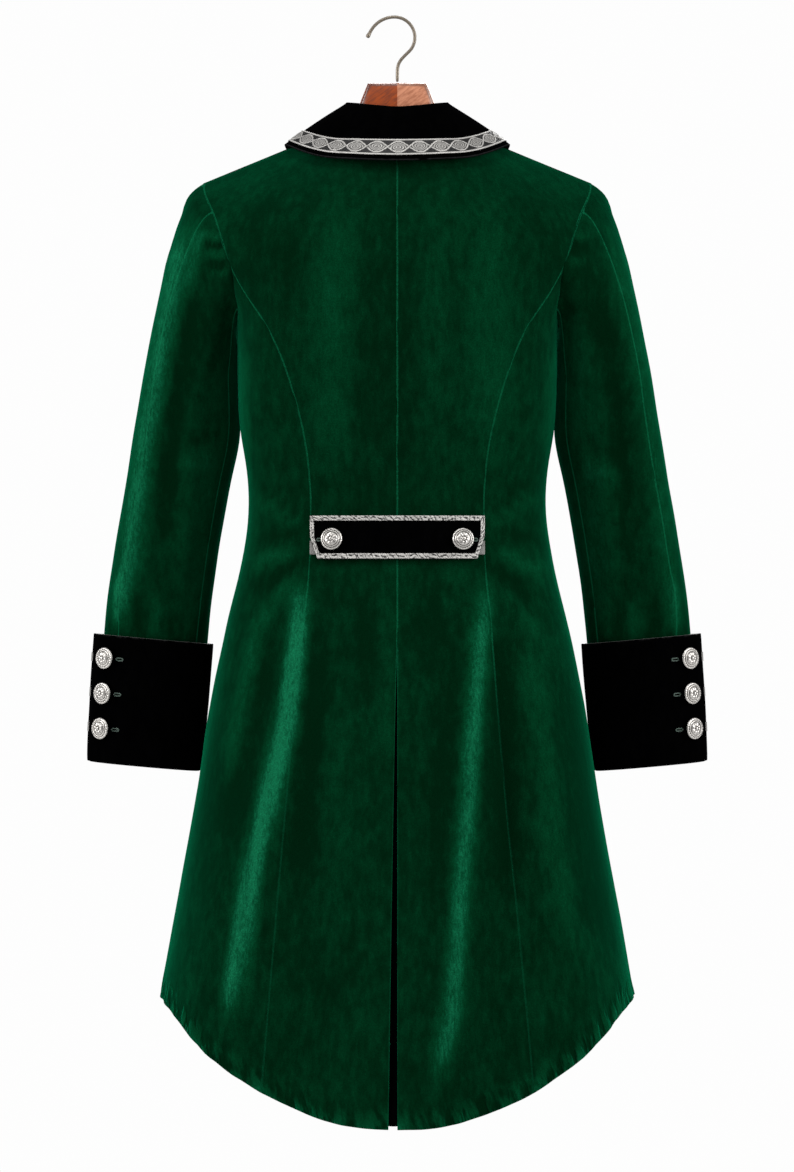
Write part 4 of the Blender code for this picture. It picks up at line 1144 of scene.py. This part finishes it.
@dataclass
class Button:
    """A domed cast button with a boss, a ring of petals, and a beaded rim, on a short shank."""

    node: str
    material: bpy.types.Material
    steps: int = 96
    petals: int = 8
    beads: int = 24
    profile: tuple[Turning, ...] = (
        Turning(0.0, 8.45, 1.0), Turning(0.9, 8.35, 1.0), Turning(1.6, 8.0, 0.9), Turning(2.0, 7.45, 0.3),
        Turning(2.3, 7.15, 0.0), Turning(2.7, 7.25, 0.5), Turning(3.4, 7.4, 1.0), Turning(4.2, 7.3, 1.0),
        Turning(5.0, 7.05, 1.0), Turning(5.8, 6.7, 1.0), Turning(6.5, 6.25, 0.8), Turning(6.9, 5.8, 0.2),
        Turning(7.2, 5.6, 0.0), Turning(7.6, 5.8, 0.8), Turning(8.1, 5.75, 1.0), Turning(8.5, 5.4, 0.7),
        Turning(8.8, 4.9, 0.05), Turning(9.2, 4.85, 0.3), Turning(9.7, 4.95, 1.0), Turning(10.3, 4.75, 1.0),
        Turning(10.9, 4.2, 0.9), Turning(11.2, 3.6, 0.7), Turning(11.0, 3.0, 0.4), Turning(10.3, 2.6, 0.2),
        Turning(6.0, 2.4, 0.0), Turning(3.0, 2.2, 0.0), Turning(3.0, 0.05, 0.0), Turning(0.0, 0.05, 0.0),
    )

    def place(self) -> Matrix:
        """Where the solid stands, from its own points: its base's centre, with +Z out of the cloth."""
        solid = merged_copy(self.node)
        points = points_of(solid)
        solid.free()
        centre = points.mean(axis=0)
        axis = np.linalg.svd(points - centre)[2][2]
        heights = (points - centre) @ axis
        if heights.max() < -heights.min():
            axis, heights = -axis, -heights
        base = centre + axis * heights.min()
        return Matrix.Translation(base) @ Vector(axis).to_track_quat("Z", "Y").to_matrix().to_4x4()

    def build(self) -> bpy.types.Object:
        """Makes the button.

        Returns:
            The piece.
        """
        mesh = bmesh.new()
        line = [mesh.verts.new((ring.radius * MM, 0, ring.height * MM)) for ring in self.profile]
        edges = [mesh.edges.new(pair) for pair in zip(line, line[1:])]
        bmesh.ops.spin(mesh, geom=line + edges,
                       axis=(0, 0, 1), cent=(0, 0, 0), angle=2 * math.pi, steps=self.steps,
                       use_merge=True)
        bmesh.ops.remove_doubles(mesh, verts=mesh.verts, dist=MERGE)
        points = points_of(mesh)
        radius, turn = np.hypot(points[:, 0], points[:, 1]) / MM, np.arctan2(points[:, 1], points[:, 0])
        top = points[:, 2] > 3.2 * MM
        rows = np.array([[ring.radius, ring.height, ring.bright] for ring in self.profile])
        off = np.hypot(rows[None, :, 0] - radius[:, None], rows[None, :, 1] - points[:, 2:3] / MM)
        bright = rows[np.argmin(off, axis=1), 2]
        petal = np.cos(self.petals * turn + radius * 0.55)
        leaf = step_up(radius, 2.4, 3.2) * step_up(-radius, -6.8, -6.0) * top
        bead = np.cos(self.beads * turn) * step_up(radius, 9.3, 9.8) * step_up(-radius, -11.25, -10.9) * top
        points[:, 2] += (0.2 * petal * leaf + 0.12 * bead) * MM
        bright = bright * (1 - leaf * 0.55 * (petal < -0.35)) * (1 - 0.45 * (bead < -0.3))
        move_points(mesh, points)
        set_values(mesh, "raised", bright)
        bmesh.ops.recalc_face_normals(mesh, faces=mesh.faces)
        mesh.transform(self.place())
        piece = to_object(mesh, f"{self.node}_cast", self.material)
        declare(piece, "silver_metal", self.node)
        return piece


@dataclass
class Buttonhole:
    """A short worked buttonhole: a stadium of close stitches round a slit."""

    name: str
    material: bpy.types.Material
    ground: BVHTree
    button: Matrix
    away: float
    run: Vector
    length: float = 7.0 * MM
    half_width: float = 1.3 * MM
    stitch: float = 0.65 * MM

    def build(self) -> bpy.types.Object:
        """Makes the buttonhole beside its button.

        Returns:
            The piece.
        """
        mesh = bmesh.new()
        ring = bmesh.ops.create_circle(mesh, segments=8, radius=self.stitch)["verts"]
        tilt = Matrix.Translation((self.half_width, 0, 0)) @ Matrix.Rotation(math.radians(90), 4, "X")
        bmesh.ops.transform(mesh, matrix=tilt, verts=ring)
        bmesh.ops.spin(mesh, geom=mesh.verts[:] + mesh.edges[:],
                       axis=(0, 0, 1), cent=(0, 0, 0), angle=2 * math.pi,
                       steps=26, use_merge=True)
        bmesh.ops.remove_doubles(mesh, verts=mesh.verts, dist=MERGE)
        stretch = self.length / 2 - self.half_width
        for vertex in mesh.verts:
            vertex.co.y += math.copysign(stretch, vertex.co.y) if abs(vertex.co.y) > 1e-6 else 0
        long_edges = [edge for edge in mesh.edges if edge.calc_length() > stretch * 0.8]
        bmesh.ops.subdivide_edges(mesh, edges=long_edges, cuts=12, use_grid_fill=True)
        for vertex in mesh.verts:
            vertex.co += vertex.normal * 0.12 * MM * math.sin(vertex.co.y / MM * 7)
        bmesh.ops.recalc_face_normals(mesh, faces=mesh.faces)
        start = self.button.translation + self.run.normalized() * self.away
        spot, normal, _, _ = self.ground.find_nearest(start)
        run = (self.run - normal * self.run.dot(normal)).normalized()
        side = run.cross(normal)
        turn = Matrix((side, run, normal)).transposed().to_4x4()
        mesh.transform(Matrix.Translation(spot + normal * self.stitch * 0.55) @ turn)
        piece = to_object(mesh, self.name, self.material)
        declare(piece, "green_velvet")
        return piece


# Hanger


FAR_AWAY = Vector((0, 0, 10))


@dataclass
class HangerPart:
    """An arm or the hook of the hanger, smoothed over its solid."""

    node: str
    material: bpy.types.Material
    slot: str
    sharp: float
    levels: int = 2
    edge_radius: float = 0.0
    joint: float = 0.0
    grain: float = 0.0

    def build(self) -> bpy.types.Object:
        """Makes the piece.

        Returns:
            The piece.
        """
        mesh = merged_copy(self.node)
        for vertex in mesh.verts:
            if abs(vertex.co.x) < self.joint:
                vertex.co.x = 0
        mesh = evened(mesh, self.grain) if self.grain else smoothed(mesh, self.levels, self.sharp)
        edges = []
        for edge in mesh.edges:
            if edge.calc_face_angle(0) > self.sharp:
                edge.smooth = max(abs(vertex.co.x) for vertex in edge.verts) > self.joint
                edges += [edge] if edge.smooth else []
        tree = spot_tree([spot for edge in edges for spot in spots_on(edge)] or [FAR_AWAY])
        if self.edge_radius:
            rounded(mesh, edges, self.edge_radius)
        set_values(mesh, "seam", [tree.find(vertex.co)[2] for vertex in mesh.verts])
        piece = to_object(mesh, f"{self.node}_finished", self.material)
        declare(piece, self.slot, self.node)
        return piece


# Studio


@dataclass(frozen=True)
class SoftBox:
    """A large soft light: its place, what it looks at, its size and its power."""

    name: str
    place: Triple
    target: Triple
    size: tuple[float, float]
    power: float


@dataclass
class Studio:
    """A plain pale floor, soft light and the camera."""

    camera_place: Triple = (-0.0003, -5.0, -0.5868)
    lens: float = 148.4
    floor_height: float = -1.95
    floor_half: float = 30.0
    floor_far: float = 5.0
    fill: float = 0.32
    lights: tuple[SoftBox, ...] = (
        SoftBox("left_softbox", (-3.2, -1.3, 0.5), (0, 0, -0.55), (0.9, 2.4), 150),
        SoftBox("right_softbox", (3.2, -1.6, 0.7), (0, 0, -0.55), (0.9, 2.4), 170),
        SoftBox("top_softbox", (-0.3, -1.6, 2.4), (0, 0, -0.5), (1.8, 1.2), 70),
        SoftBox("front_softbox", (0.6, 3.6, 1.2), (0, 0, -0.5), (2.4, 2.0), 110),
    )

    def build(self) -> None:
        """Makes the camera, the lights, the floor and the white surroundings."""
        scene = bpy.context.scene
        eye = bpy.data.cameras.new("camera")
        eye.lens = self.lens
        eye.sensor_width = 36
        eye.sensor_fit = "AUTO"
        camera = bpy.data.objects.new("camera", eye)
        camera.location = self.camera_place
        camera.rotation_euler = Euler((math.radians(90), 0, 0))
        scene.collection.objects.link(camera)
        scene.camera = camera
        for box in self.lights:
            self.light(box)
        self.floor()
        self.surroundings()

    def light(self, box: SoftBox) -> None:
        """Makes one soft light, turned to its target."""
        lamp = bpy.data.lights.new(box.name, "AREA")
        lamp.shape = "RECTANGLE"
        lamp.size, lamp.size_y = box.size
        lamp.energy = box.power
        holder = bpy.data.objects.new(box.name, lamp)
        holder.location = box.place
        aim = Vector(box.target) - Vector(box.place)
        holder.rotation_euler = aim.to_track_quat("-Z", "Y").to_euler()
        bpy.context.scene.collection.objects.link(holder)

    def floor(self) -> None:
        """Makes the pale floor, well below the hanging coat."""
        mesh = bmesh.new()
        bmesh.ops.create_grid(mesh, x_segments=8, y_segments=8, size=self.floor_half)
        bmesh.ops.translate(mesh, verts=mesh.verts,
                            vec=(0, self.floor_far - self.floor_half, self.floor_height))
        net = NodeNet("pale_floor")
        tone = net.mix(net.noise(net.coords(), 3, 3), (0.82, 0.82, 0.82), (0.86, 0.86, 0.86))
        floor = to_object(mesh, "floor", net.shade(Base_Color=tone, Roughness=0.6))

    def surroundings(self) -> None:
        """Lights the scene evenly from a near-white world."""
        world = bpy.data.worlds.new("studio")
        bpy.context.scene.world = world
        world.use_nodes = True
        tree = world.node_tree
        back = tree.nodes["Background"]
        back.inputs["Color"].default_value = (1, 1, 1, 1)
        back.inputs["Strength"].default_value = self.fill
        seen = tree.nodes.new("ShaderNodeBackground")
        seen.inputs["Color"].default_value = (1, 1, 1, 1)
        seen.inputs["Strength"].default_value = 0.985
        path = tree.nodes.new("ShaderNodeLightPath")
        mix = tree.nodes.new("ShaderNodeMixShader")
        tree.links.new(path.outputs["Is Camera Ray"], mix.inputs[0])
        tree.links.new(back.outputs[0], mix.inputs[1])
        tree.links.new(seen.outputs[0], mix.inputs[2])
        tree.links.new(mix.outputs[0], tree.nodes["World Output"].inputs["Surface"])


def main() -> None:
    """Builds the studio and every piece of the coat, in order."""
    logging.basicConfig(level=logging.INFO, format="%(name)s: %(message)s")
    bpy.context.scene.view_settings.view_transform = "Standard"
    Studio().build()
    green, black = GREEN.build(), BLACK.build()
    silver, metal, thread = SILVER_BRAID.build(), SILVER_METAL.build(), GREEN_THREAD.build()
    # The left arm gets the painted-shade wood, the right the painted-highlight wood.
    woods, steel = {"left": PAINTED_SHADE_WOOD.build(), "right": PAINTED_HIGHLIGHT_WOOD.build()}, HOOK_STEEL.build()
    made: dict[str, bpy.types.Object] = {}
    body = {Face.BACK: BACK_CREASES, Face.FRONT: FRONT_CREASES}
    for side in SIDES:
        for name, cut in (("back_center", Cut(0.22, 1.02, 0.133)), ("back_side", Cut(0.17, 0.86, 0.109)),
                          ("front_center", Cut(0.24, 0.9, 0.124)), ("front_side", Cut(0.17, 0.8, 0.1))):
            node = f"{name}_{side}"
            made[node] = Cloth(node, green, "green_velvet", cut, body_direction, body, puckered=True).build()
        creases = LEFT_SLEEVE_CREASES if side == "left" else RIGHT_SLEEVE_CREASES
        arm = {Face.BACK: creases, Face.FRONT: creases}
        for name, cut in (("sleeve_top", Cut(0.24, 0.62, 0.115)), ("sleeve_under", Cut(0.11, 0.58, 0.045))):
            node = f"{name}_{side}"
            made[node] = Cloth(node, green, "green_velvet", cut, sleeve_direction, arm).build()
        node = f"cuff_{side}"
        made[node] = Cloth(node, black, "black_velvet", Cut(0.36, 0.14, 0.043), sleeve_direction).build()
    made["collar"] = Cloth("collar", black, "black_velvet", Cut(0.5, 0.14, 0.0485), body_direction).build()
    made["half_belt"] = Cloth("half_belt", black, "black_velvet", Cut(0.18, 0.045, 0.0079),
                              body_direction).build()
    Cloth("slit_underlay", black, "black_velvet", Cut(0.06, 0.49, 0.027), body_direction).build()
    Strip("collar_braid", silver, surface_of(made["collar"]), interlace, 18.5,
          Cut(0.46, 0.0185, 0.0085)).build()
    Strip("belt_braid", silver, surface_of(made["half_belt"]), two_ply, 5.4, closed=True, step=0.5,
          lift=0.7).build()
    for side, sign in zip(SIDES, (-1, 1)):
        Trim(f"belt_tab_{side}", silver, 1.6).build()
        Trim(f"cuff_piping_{side}", silver, 2.2).build()
        ground = surface_of(made[f"cuff_{side}"])
        for row in (1, 2, 3):
            Trim(f"cuff_tab_{side}_{row}", silver, 1.6).build()
            button = Button(f"cuff_button_{side}_{row}", metal)
            button.build()
            Buttonhole(f"cuff_buttonhole_{side}_{row}", thread, ground, button.place(), 15.6 * MM,
                       Vector((-sign, -0.5, 0.09 * sign * -sign))).build()
        button = Button(f"belt_button_{side}", metal)
        button.build()
        Buttonhole(f"belt_buttonhole_{side}", thread, surface_of(made["half_belt"]), button.place(), 13 * MM,
                   Vector((sign, 0, 0)), length=6 * MM).build()
    ground = surface_of(made["front_center_right"])
    for row in range(1, 6):
        button = Button(f"front_button_{row}", metal)
        button.build()
        Buttonhole(f"front_buttonhole_{row}", thread, ground, button.place(), 12 * MM, Vector((1, 0, 0)),
                   length=10 * MM).build()
    for side in SIDES:
        HangerPart(f"hanger_arm_{side}", woods[side], "hanger_wood", math.radians(28), edge_radius=0.7 * MM,
                   joint=0.3 * MM).build()
    HangerPart("hanger_hook", steel, "hook_steel", math.radians(62), grain=0.3 * MM).build()


if __name__ == "__main__":
    main()
